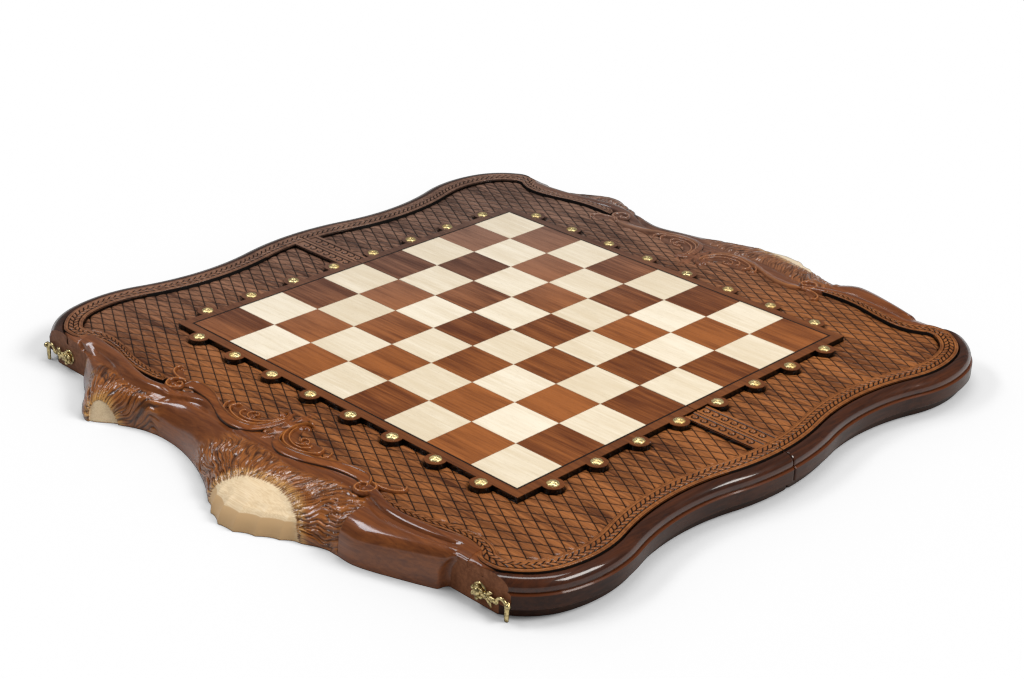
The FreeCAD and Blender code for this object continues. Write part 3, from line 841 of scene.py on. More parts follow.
@dataclass(frozen=True)
class CaseOutline:
    """The edge of one side in plan: four tangent arcs from the split to the corner."""

    half_width: float = 283.0
    waist_depth: float = 13.0
    waist_place: float = 108.0
    shoulder_rise: float = 16.0
    shoulder_place: float = 209.0
    corner_radius: float = 56.0
    corner_shift: float = 14.0
    waist_share: float = 0.673
    split_gap: float = 0.4
    land_setback: float = 2.0

    def arcs(self) -> list[tuple[Point, float, float, float, float]]:
        """The arcs in order.

        Returns:
            Centre, radius, sense, first angle and last angle of each, with angles from +Y towards +X.
        """
        waist_half = self.half_width - self.waist_depth
        shoulder_half = waist_half + self.shoulder_rise
        first_pair = (self.waist_place ** 2 + self.waist_depth ** 2) / (2 * self.waist_depth)
        run = self.shoulder_place - self.waist_place
        last_pair = (run ** 2 + self.shoulder_rise ** 2) / (2 * self.shoulder_rise)
        waist_radius = last_pair * self.waist_share
        middle_radius, shoulder_radius = first_pair - waist_radius, last_pair - waist_radius
        middle = (0.0, self.half_width - middle_radius)
        waist = (self.waist_place, waist_half + waist_radius)
        shoulder = (self.shoulder_place, shoulder_half - shoulder_radius)
        drop = math.sqrt((shoulder_radius - self.corner_radius) ** 2 - self.corner_shift ** 2)
        corner = (self.shoulder_place + self.corner_shift, shoulder[1] + drop)

        def bearing(start: Point, end: Point) -> float:
            """The direction from one place to another, from +Y towards +X."""
            return math.atan2(end[0] - start[0], end[1] - start[1])

        turn_in = bearing(middle, waist)
        turn_out = bearing(shoulder, waist)
        turn_round = bearing(shoulder, corner)
        return [
            (middle, middle_radius, 1.0, math.asin(self.split_gap / middle_radius), turn_in),
            (waist, waist_radius, -1.0, turn_in, turn_out),
            (shoulder, shoulder_radius, 1.0, turn_out, turn_round),
            (corner, self.corner_radius, 1.0, turn_round, math.pi / 2),
        ]

    @property
    def corner_y(self) -> float:
        """Where the corner's arc turns along Y."""
        return self.arcs()[3][0][1]

    @property
    def land_x(self) -> float:
        """The plane of the flat clasp lands."""
        return self.shoulder_place + self.corner_shift + self.corner_radius - self.land_setback

    def stations(self, step: float) -> tuple[Array, Array]:
        """Points along the edge and their outward directions.

        Args:
            step: The spacing along the edge.

        Returns:
            Points and unit directions, one in each row.
        """
        points, outwards = [], []
        for number, (centre, radius, sense, first, last) in enumerate(self.arcs()):
            count = max(4, round(radius * abs(last - first) / step))
            angles = np.linspace(first, last, count + 1)[0 if number == 0 else 1:]
            out = np.column_stack([np.sin(angles), np.cos(angles)])
            points.append(np.array(centre) + sense * radius * out)
            outwards.append(out)
        return np.vstack(points), np.vstack(outwards)


# Sub-assemblies


@dataclass(frozen=True)
class SideRail:
    """A moulded side rail: an inset lip, a flat fascia and a bullnose roll."""

    outline: CaseOutline
    step: float = 2.5
    lip_reach: float = 6.0
    lip_height: float = 8.5
    fascia_reach: float = 11.98
    fascia_top: float = 20.5
    bullnose_reach: float = 10.5
    top: float = 30.0
    deck_bottom: float = 22.0
    tray_side: float = 262.0
    tray_end: float = 248.0
    pin_offset: float = 4.0
    pin_height: float = 3.85
    end_round: float = 1.3
    roll_inner: float = 2.4
    roll_axis: float = 23.0
    roll_start: float = -0.30
    roll_steps: int = 14
    face_reach: float = 0.01
    shade_top: float = 20.8

    def section(self) -> list[tuple[float, float, float]]:
        """Reach, level and painted highlight of the outside, from the foot up to the groove."""
        low, ledge = self.lip_height, self.fascia_top
        lip, fascia, outer = self.lip_reach, self.fascia_reach, self.bullnose_reach
        wide, high = outer - self.roll_inner, self.top - self.roll_axis
        turns = np.linspace(self.roll_start, 0.5 * math.pi, self.roll_steps)
        roll = [(self.roll_inner + wide * math.cos(turn), self.roll_axis + high * math.sin(turn), 0.0)
                for turn in turns]
        return [
            (lip - 0.5, 0.0, 0.0), (lip, 0.5, 0.0), (lip, low - 0.6, 0.0), (lip + 0.3, low - 0.1, 0.2),
            (fascia - 0.7, low, 0.35), (fascia, low + 0.7, 0.45), (fascia, low + 1.3, 0.0),
            (fascia, ledge - 1.5, 0.0), (fascia, ledge - 0.9, 0.8), (fascia - 0.9, ledge, 1.0),
            (outer - 0.4, ledge + 0.05, 0.6), (outer - 0.45, ledge + 0.5, 0.0), *roll,
            (1.2, self.top - 0.15, 0.0), (0.5, self.top - 0.7, 0.0), (0.15, self.top - 1.6, 0.0),
            (0.15, self.deck_bottom, 0.0),
        ]

    def inner_anchor(self, points: Array) -> Array:
        """The tray wall's place for each station along the outside.

        Args:
            points: The stations.

        Returns:
            Places in plan, one in each row.
        """
        anchor = np.column_stack([np.minimum(points[:, 0], self.tray_end),
                                  np.full(len(points), self.tray_side)])
        past = points[:, 0] > self.tray_end
        anchor[past, 1] = np.linspace(self.tray_side, self.outline.corner_y, int(past.sum()))
        return anchor

    def build(self, half: Half, side: Side, finishes: Finishes) -> None:
        """Sweeps the section along the edge and cuts the clasp land.

        Args:
            half: The half it belongs to.
            side: The end of the split it is on.
            finishes: The case's finishes.
        """
        points, outwards = self.outline.stations(self.step)
        ends = np.array([0.0, 0.25, 0.6, 1.0]) * self.end_round
        rounds = len(ends)
        points = np.vstack([np.column_stack([points[0, 0] + ends, np.full(rounds, points[0, 1])]), points[1:]])
        outwards = np.vstack([np.repeat(outwards[:1], rounds, axis=0), outwards[1:]])
        anchor = self.inner_anchor(points)
        section = self.section()
        trim = np.zeros(len(points))
        trim[:rounds] = self.end_round * (1 - np.sqrt(1 - (1 - ends / self.end_round) ** 2))
        rows = [(anchor, 0.0)]
        for reach, level, _ in section:
            rows.append((points + (reach - trim)[:, None] * outwards, level))
        rows += [(anchor, self.deck_bottom), (anchor, 0.0)]
        # Painted highlight along the ledges, kept on the points.
        worn = np.array([0.0, *(highlight_amount for _, _, highlight_amount in section), 0.0, 0.0])
        places = np.stack([np.column_stack([plan, np.full(len(plan), level)]) for plan, level in rows], axis=1)
        radius = self.pin_offset - self.outline.split_gap
        drop = np.clip(self.pin_offset - places[..., 0], 0.0, radius)
        lifted = self.pin_height - np.sqrt(np.maximum(radius ** 2 - drop ** 2, 0.0))
        places[..., 2] = np.maximum(places[..., 2], np.where(places[..., 0] < self.pin_offset, lifted, 0.0))
        bm = lofted(places, {"worn": np.broadcast_to(worn, places.shape[:2])}, half, side)
        land = self.outline.land_x
        cut_past(bm, land, half)
        for face in bm.faces:
            middle = face.calc_center_median() / MM
            on_land = abs(abs(middle.x) - land) < self.face_reach
            face.material_index = 2 if on_land else int(middle.z < self.shade_top)
        node = f"{half.label}_{side.label}_rail"
        publish(bm, f"{node}_moulding", half.body,
                [finishes.moulding, finishes.fascia, finishes.land], [node], 32.0)


@dataclass(frozen=True)
class EndForm:
    """The main form of a carved end: where its ridge and its foot stand along Y."""

    outline: CaseOutline
    apron_reach: float = 65.0
    rows: tuple[tuple[float, float, float], ...] = (
        (0.93, -0.10, 0.11), (0.816, -0.06, 0.34), (0.671, 0.06, 0.65), (0.596, 0.10, 0.47),
        (0.474, 0.03, 0.28), (0.351, -0.20, 0.25), (0.200, -0.11, 0.35), (0.026, -0.06, 0.61),
        (-0.110, -0.08, 0.91), (-0.200, -0.04, 1.00), (-0.307, -0.09, 0.86), (-0.408, -0.18, 0.65),
        (-0.504, -0.14, 0.48), (-0.645, 0.00, 0.46), (-0.798, -0.03, 0.29), (-0.93, -0.14, 0.11),
    )

    def reach_of(self, column: int, y: Array) -> Array:
        """Reads one column of the rows as an X for each Y.

        Args:
            column: The column's number.
            y: The stations.

        Returns:
            The reach across the split.
        """
        ordered = sorted(self.rows)
        stops = [row[0] * self.outline.corner_y for row in ordered]
        shares = curved([row[column] for row in ordered], stops, y)
        return self.outline.land_x + self.apron_reach * shares

    def ridge(self, y: Array) -> Array:
        """The outer edge of the ridge."""
        return self.reach_of(1, y)

    def foot(self, y: Array) -> Array:
        """The foot's reach."""
        return self.reach_of(2, y)


@dataclass(frozen=True)
class Border:
    """The raised braided border of a half, which runs on as a ribbon into the end's scrolls."""

    outline: CaseOutline
    width: float = 15.0
    groove: float = 0.8
    top: float = 30.15
    foot: float = 21.9
    step: float = 0.62
    across: int = 26
    leaf_pitch: float = 5.8
    braid_share: float = 0.54
    ribbon_stops: tuple[Point, ...] = (
        (266.2, 238.0), (261.6, 230.6), (257.8, 221.5), (256.4, 210.0), (259.0, 191.8), (264.2, 173.0),
        (267.0, 153.8), (267.0, 137.0), (265.4, 124.0),
    )
    ribbon_width: float = 9.0
    ribbon_span: Point = (-250.0, -190.0)
    ribbon_from: float = 200.0
    leave_angle: float = 68.0
    stop_stride: int = 6
    leaf_height: float = 1.5
    leaf_lean: float = 0.38
    rim_height: float = 0.95
    line_share: float = 0.84
    line_depth: float = 0.35
    edge_fall: float = 0.4
    hollow_span: Point = (0.18, 0.50)
    fade_length: float = 6.0
    fade_drop: float = 1.2

    def centre(self) -> Array:
        """The band's middle line from the split round the corner to the scroll's knot."""
        points, outwards = self.outline.stations(1.0)
        turned = np.degrees(np.arctan2(outwards[:, 0], outwards[:, 1]))
        kept = (points[:, 0] < self.outline.shoulder_place) | (turned < self.leave_angle)
        edge = (points - (self.groove + self.width / 2) * outwards)[kept]
        stops = [tuple(point) for point in edge[::self.stop_stride]] + list(self.ribbon_stops)
        return smooth_line(stops, self.step)

    def widths(self, line: Array) -> Array:
        """Half the band's width at each point of its line."""
        share = eased(-line[:, 1], *self.ribbon_span) * (line[:, 0] > self.ribbon_from)
        return 0.5 * (self.width + (self.ribbon_width - self.width) * share)

    def inner_edge(self) -> Array:
        """The band's edge towards the ground."""
        line = self.centre()
        return line - left_of(line) * self.widths(line)[:, None]

    def relief(self, length: Array, across: Array) -> tuple[Array, Array]:
        """Height and painted shade of the braid.

        Args:
            length: Distance along the band.
            across: From -1 at the ground side to 1 at the groove side.

        Returns:
            Heights in millimetres and painted shade from 0 to 1.
        """
        edge = np.abs(across)
        rim = eased(edge, self.braid_share, self.braid_share + 0.08)
        row = edge / self.braid_share * 2.0 - 1.0
        phase = (length / self.leaf_pitch + self.leaf_lean * row + 0.5 * (across > 0.0)) % 1.0
        leaf = np.clip(1.0 - (2.0 * phase - 1.0) ** 2, 0.0, 1.0) * np.clip(1.0 - row ** 6, 0.0, 1.0)
        leaf = np.sqrt(leaf) * (1.0 - eased(edge, self.braid_share - 0.04, self.braid_share))
        dip = np.exp(-((edge - self.line_share) / 0.05) ** 2)
        height = np.maximum(self.leaf_height * leaf, self.rim_height * rim) - self.line_depth * dip
        height = height - self.edge_fall * eased(edge, 0.93, 1.0)
        # Painted shade between the leaves and in the dip by the rim.
        hollow = eased(1.0 - np.maximum(leaf, rim), *self.hollow_span)
        return height, np.maximum(hollow, 0.45 * dip)

    def build(self, half: Half, side: Side, finishes: Finishes) -> None:
        """Sweeps the braid along the border.

        Args:
            half: The half it belongs to.
            side: The end of the split it is on.
            finishes: The case's finishes.
        """
        line = self.centre()
        outward = left_of(line)
        widths = self.widths(line)
        lengths = np.arange(len(line)) * self.step
        fade = eased(lengths, lengths[-1] - self.fade_length, lengths[-1])

        def shape(along: Array, over: Array) -> Carving:
            """The braid over the band, fading out at the knot."""
            index = steps_of(along, len(line))
            across = 2.0 * over - 1.0
            height, hollow = self.relief(lengths[index], across)
            plan = line[index] + outward[index] * (across * widths[index] * (1 - 0.5 * fade[index]))[:, None]
            level = self.top + height - self.fade_drop * fade[index]
            return Carving(placed(plan, level, half, side), {"hollow": hollow})

        bm = close_below(grid(len(line) - 1, self.across, shape), self.foot)
        # Its walls get the black painted shadow.
        publish(bm, f"{half.label}_{side.label}_border", half.body,
                [finishes.border, finishes.stain], crease=60.0)


@dataclass(frozen=True)
class ShoulderForm:
    """How high a corner's shoulder stands."""

    level: float = 28.6
    swell: float = 1.4
    crest: float = 0.75
    crest_shift: float = 0.33
    spread: float = 0.5
    more_spread: float = 0.25
    land_fall: float = 0.6
    land_from: float = 0.7
    edge_fall: float = 0.7
    edge_from: float = 0.92

    def height(self, over: Array, landed: Array) -> Array:
        """The level of the shoulder's surface.

        Args:
            over: From 0 at the border to 1 at the outer edge.
            landed: 1 where the outer edge is the clasp land, 0 where it is the rail's groove.

        Returns:
            Levels in millimetres.
        """
        crest = (over - self.crest + self.crest_shift * landed) / (self.spread + self.more_spread * landed)
        swell = (self.swell + self.swell * landed) * np.cos(0.5 * math.pi * np.clip(crest, -1.0, 1.0)) ** 2
        fall = self.land_fall * landed * eased(over, self.land_from, 1.0)
        return self.level + swell - fall - self.edge_fall * eased(over, self.edge_from, 1.0)


@dataclass(frozen=True)
class Shoulder:
    """The smooth shoulder of a corner, between the border, the rail's groove and the clasp land."""

    outline: CaseOutline
    groove: float = 0.7
    first_angle: float = 46.0
    foot: float = 21.9
    step: float = 0.6
    end: float = 221.0
    inner_stops: tuple[Point, ...] = (
        (257.0, 262.0), (262.5, 248.0), (261.0, 238.0), (257.8, 229.0), (256.0, 221.0),
    )
    form: ShoulderForm = ShoulderForm()
    across: int = 18
    corner_steps: int = 24
    land_gap: float = 0.15
    land_span: Point = (226.0, 243.0)
    tip_length: float = 8.0
    tip_drop: float = 5.0

    def lines(self) -> tuple[Array, Array]:
        """The shoulder's edges.

        Returns:
            Points along the groove and the land, and as many points under the border.
        """
        centre, radius, *_ = self.outline.arcs()[3]
        reach, land = radius - self.groove, self.outline.land_x - self.land_gap
        last = math.asin((land - centre[0]) / reach)
        angles = np.linspace(math.radians(self.first_angle), last, self.corner_steps)
        arc = np.column_stack([centre[0] + reach * np.sin(angles), centre[1] + reach * np.cos(angles)])
        outer = even_line(np.vstack([arc, [(land, self.end)]]), self.step)
        inner = smooth_line(self.inner_stops, 0.5 * self.step)
        return outer, inner[np.rint(np.linspace(0, len(inner) - 1, len(outer))).astype(int)]

    def build(self, half: Half, side: Side, finishes: Finishes) -> None:
        """Carves the shoulder, which takes over the ridge's roll and runs out at the tip.

        Args:
            half: The half it belongs to.
            side: The end of the split it is on.
            finishes: The case's finishes.
        """
        outer, inner = self.lines()

        def shape(along: Array, over: Array) -> Carving:
            """The shoulder between its two edges."""
            index = steps_of(along, len(outer))
            plan = inner[index] * (1.0 - over)[:, None] + outer[index] * over[:, None]
            level = self.form.height(over, 1.0 - eased(outer[index, 1], *self.land_span))
            level = level - self.tip_drop * (1.0 - eased(plan[:, 1], self.end, self.end + self.tip_length))
            return Carving(placed(plan, level, half, side))

        bm = close_below(grid(len(outer) - 1, self.across, shape), self.foot)
        publish(bm, f"{half.label}_{side.label}_shoulder", half.body,
                [finishes.scroll, finishes.land], crease=50.0)


@dataclass(frozen=True)
class Strap:
    """The studded strap along the split, between the border and the field."""

    start: float = 198.7
    end: float = 268.0
    inner: float = 0.45
    width: float = 13.4
    top: float = 30.15
    foot: float = 25.9
    studs: int = 7
    stud_radius: float = 2.3
    stud_height: float = 1.6
    first_stud: float = 203.5
    stud_pitch: float = 9.0
    rim_share: float = 0.56
    rim_height: float = 0.95
    edge_fall: float = 0.3
    faces: tuple[int, int] = (30, 150)

    def build(self, half: Half, side: Side, finishes: Finishes) -> None:
        """Carves the strap.

        Args:
            half: The half it belongs to.
            side: The end of the split it is on.
            finishes: The case's finishes.
        """
        middle = self.inner + self.width / 2

        def shape(over: Array, along: Array) -> Carving:
            """A row of studs between two rims."""
            x = self.inner + over * self.width
            y = self.start + along * (self.end - self.start)
            across = np.abs(2.0 * over - 1.0)
            rim = self.rim_height * eased(across, self.rim_share, self.rim_share + 0.08)
            number = np.clip(np.rint((y - self.first_stud) / self.stud_pitch), 0, self.studs - 1)
            away = np.hypot(x - middle, y - self.first_stud - number * self.stud_pitch) / self.stud_radius
            stud = self.stud_height * np.sqrt(np.clip(1.0 - away ** 2, 0.0, 1.0))
            # Painted shade round each stud and along the rims.
            hollow = np.clip(1.0 - np.abs(away - 1.2) / 0.4, 0.0, 1.0) * 0.9 * (across < 0.55)
            hollow = np.maximum(hollow, 0.75 * np.exp(-((across - self.rim_share) / 0.06) ** 2))
            level = self.top + np.maximum(rim, stud) - self.edge_fall * eased(across, 0.94, 1.0)
            return Carving(placed(np.column_stack([x, y]), level, half, side), {"hollow": hollow})

        bm = close_below(grid(*self.faces, shape), self.foot)
        # Its walls get the black painted shadow.
        publish(bm, f"{half.label}_{side.label}_strap", half.body,
                [finishes.border, finishes.stain], crease=60.0)


@dataclass(frozen=True)
class FieldNails:
    """Petalled brass nails round the field."""

    square: float = 47.0
    row: float = 201.0
    level: float = 31.95
    radius: float = 5.0
    height: float = 2.3
    petals: int = 6
    notch: float = 0.07
    crown: float = 0.80
    crease: float = 0.13
    button: float = 0.15
    button_share: float = 0.32
    sunk: float = 0.4
    faces: tuple[int, int] = (36, 9)

    def places(self) -> list[Point]:
        """The middles of the nails on the far half."""
        rows = [(number - 3.5) * self.square for number in range(8)]
        edges = [(x, side.value * self.row) for x in rows[4:] for side in Side]
        return edges + [(self.row, y) for y in rows]

    def nail(self, place: Point, half: Half) -> Mesh:
        """Shapes a nail's petals and its middle button.

        Args:
            place: The nail's middle on the far half.
            half: The half it belongs to.

        Returns:
            The closed mesh.
        """
        def shape(turn: Array, out: Array) -> Carving:
            """The head by turn and by share of its radius."""
            angle = 2 * math.pi * turn
            petal = 0.5 + 0.5 * np.cos(self.petals * angle)
            radius = self.radius * out * (1.0 - self.notch * (1.0 - petal) * out)
            dome = np.sqrt(np.clip(1.0 - (0.98 * out) ** 2, 0.0, 1.0))
            button = self.button * np.clip(1.0 - (out / self.button_share) ** 2, 0.0, 1.0) ** 0.5
            level = (self.crown - self.crease * (1.0 - petal) * np.sin(math.pi * out)) * dome + button
            plan = np.array(place) + radius[:, None] * np.column_stack([np.cos(angle), np.sin(angle)])
            return Carving(placed(plan, self.level + self.height * np.minimum(level, 1.0), half))

        return close_below(merge_points(grid(*self.faces, shape)), self.level - self.sunk, 0)

    def build(self, half: Half, finishes: Finishes) -> None:
        """Shapes every nail.

        Args:
            half: The half it belongs to.
            finishes: The case's finishes.
        """
        bm = gathered(self.nail(place, half) for place in self.places())
        publish(bm, f"{half.label}_petal_nails", half.body, [finishes.nail],
                [f"{half.label}_field_nails"], 50.0)


@dataclass(frozen=True)
class LatticeGround:
    """The sunk ground of a half, cut in diamonds and rolled down at its edges."""

    border: Border
    end: EndForm
    pitch: float = 11.2
    reach: float = 19.5
    cuts: int = 7
    level: float = 26.2
    rise: float = 2.1
    roll: float = 8.0
    groove: float = 0.75
    strap_edge: float = 14.0
    plate_half: float = 197.5
    plate_gap: float = 1.0
    lug_radius: float = 8.5
    lug_steepness: float = 3.5
    scroll_width: float = 10.0
    tuck: float = 1.6
    nails: FieldNails = FieldNails()
    cells: tuple[int, int] = (-14, 41)
    search_x: Point = (8.0, 292.0)
    search_y: float = 276.0
    field_core: float = 190.0
    far_outside: float = -9.0
    # How far in from the edge the painted shade reaches.
    stain_reach: float = 3.0
    sheet: float = 0.5

    def edge(self) -> Array:
        """The closed edge of the ground, without the field."""
        side = self.border.inner_edge()[::3]
        y = np.linspace(side[-1, 1] - 4.0, -side[-1, 1] + 4.0, 160)
        ridge = np.column_stack([self.end.ridge(y) - self.scroll_width, y])
        back = side[::-1] * (1.0, -1.0)
        return np.vstack([[(self.strap_edge, side[0, 1])], side[side[:, 0] > self.strap_edge], ridge,
                          back[back[:, 0] > self.strap_edge], [(self.strap_edge, -side[0, 1])]])

    def inside(self, plan: Array, edge: Array) -> Array:
        """Tells which points lie inside a closed edge.

        Args:
            plan: Points in plan, one in each row.
            edge: The edge's points in order.

        Returns:
            True for each point inside.
        """
        within = np.zeros(len(plan), bool)
        for first, last in zip(edge, np.roll(edge, -1, axis=0)):
            if first[1] == last[1]:
                continue
            crosses = (plan[:, 1] < first[1]) != (plan[:, 1] < last[1])
            meets = first[0] + (plan[:, 1] - first[1]) / (last[1] - first[1]) * (last[0] - first[0])
            within ^= crosses & (plan[:, 0] < meets)
        return within

    def clearance(self, plan: Array) -> Array:
        """The distance of each point inwards from the ground's edge.

        Args:
            plan: Points in plan, one in each row.

        Returns:
            Distances, less than 0 outside the ground.
        """
        edge = even_line(np.vstack([self.edge(), self.edge()[:1]]), 0.8)
        tree = KDTree(len(edge))
        for number, point in enumerate(edge):
            tree.insert((*point, 0.0), number)
        tree.balance()
        away = np.array([tree.find((*point, 0.0))[2] for point in plan.tolist()])
        away = np.where(self.inside(plan, edge), away, -away)
        out = np.abs(plan) - self.plate_half - self.plate_gap
        plate = np.hypot(*np.maximum(out, 0.0).T) + np.minimum(out.max(axis=1), 0.0)
        for nail in self.nails.places():
            plate = np.minimum(plate, np.hypot(*(plan - nail).T) - self.lug_radius - self.plate_gap)
        return np.minimum(away, np.where(plate > 0.0, self.lug_steepness * plate, plate))

    def build(self, half: Half, finishes: Finishes) -> None:
        """Carves the ground.

        Args:
            half: The half it belongs to.
            finishes: The case's finishes.
        """
        low, high = self.cells
        cells = high - low

        def shape(first: Array, last: Array) -> Carving:
            """Pillows between the cuts, rolled down towards the edge."""
            u, v = low + first * cells, low + last * cells
            plan = np.column_stack([self.pitch * (u + v) / 2, self.reach * (u - v) / 2])
            x, aside = plan[:, 0], np.abs(plan[:, 1])
            near = (x > self.search_x[0]) & (x < self.search_x[1]) & (aside < self.search_y)
            near &= (x >= self.field_core) | (aside >= self.field_core)
            clear = np.full(len(plan), self.far_outside)
            clear[near] = self.clearance(plan[near])
            pillow = np.ones(len(plan))
            for line in (u, v):
                share = np.abs(line - np.rint(line)) * 2.0
                pillow *= np.clip(share * (2.0 - share), 0.0, 1.0) ** 0.35
            share = np.clip(clear / self.roll, 0.0, 1.0)
            level = self.level + self.rise * np.sqrt(1.0 - (1.0 - share) ** 2) + self.groove * pillow
            # Painted shade near the edges, where the ground meets the border, strap and plate.
            hollow = 1.0 - np.clip(clear / self.stain_reach, 0.0, 1.0)
            return Carving(placed(plan, level, half), {"clear": clear, "hollow": hollow})

        bm = grid(cells * self.cuts, cells * self.cuts, shape)
        layer = bm.verts.layers.float["clear"]
        outside = [face for face in bm.faces if max(vert[layer] for vert in face.verts) < -self.tuck]
        bmesh.ops.delete(bm, geom=outside, context="FACES")
        bm.verts.layers.float.remove(bm.verts.layers.float["clear"])
        close_below(bm, self.level - self.sheet)
        # The ground's walls get the black painted shadow.
        publish(bm, f"{half.label}_lattice", half.body, [finishes.ground, finishes.stain],
                crease=75.0)


@dataclass
class ApronSurface:
    """The carved outside of an end while it is shaped, one row of points for each Y."""

    x: Array
    y: Array
    z: Array
    drop: Array
    values: dict[str, Array] = field(default_factory=dict)

    def __post_init__(self) -> None:
        """Measures each point's way down over the surface from the ridge."""
        steps = np.hypot(np.diff(self.x, axis=1), np.diff(self.z, axis=1))
        way = np.cumsum(steps[:, ::-1], axis=1)[:, ::-1]
        self.way = np.concatenate([way, np.zeros((len(way), 1))], axis=1)

    def places(self, height: Array) -> Array:
        """The points, lifted out of the surface by a height.

        Args:
            height: How far each point is lifted.

        Returns:
            The lifted points, by column and row.
        """
        surface = np.stack([self.x, self.y, self.z], axis=2)
        normal = np.cross(np.gradient(surface, axis=1), np.gradient(surface, axis=0))
        normal /= np.maximum(np.linalg.norm(normal, axis=2), 1e-9)[..., None]
        normal *= np.sign(np.sum(normal * (1.0, 0.0, 1.0), axis=2))[..., None]
        lifted = surface + normal * height[..., None]
        lifted[..., 2] = np.maximum(lifted[..., 2], 0.0)
        return lifted


@dataclass(frozen=True)
class Stub:
    """A bare branch stub at the foot that the bark strands radiate from."""

    middle: float
    size: Point
    strand_reach: float
    flow_start: float

    def around(self, surface: ApronSurface) -> tuple[Array, Array, Array]:
        """Polar places round the stub, over the unrolled surface.

        Args:
            surface: The form before it is carved.

        Returns:
            Distances round it, distances out from its bare wood, and shares of its radius.
        """
        deep, wide = self.size
        station = int(np.argmin(np.abs(surface.y[:, 0] - self.middle)))
        inward, aside = (surface.way[station, 0] - surface.way) / deep, (surface.y - self.middle) / wide
        mean = math.sqrt(deep * wide)
        radius = np.hypot(inward, aside)
        return np.arctan2(aside, inward) * mean * 1.3 + self.flow_start, (radius - 1.0) * mean, radius


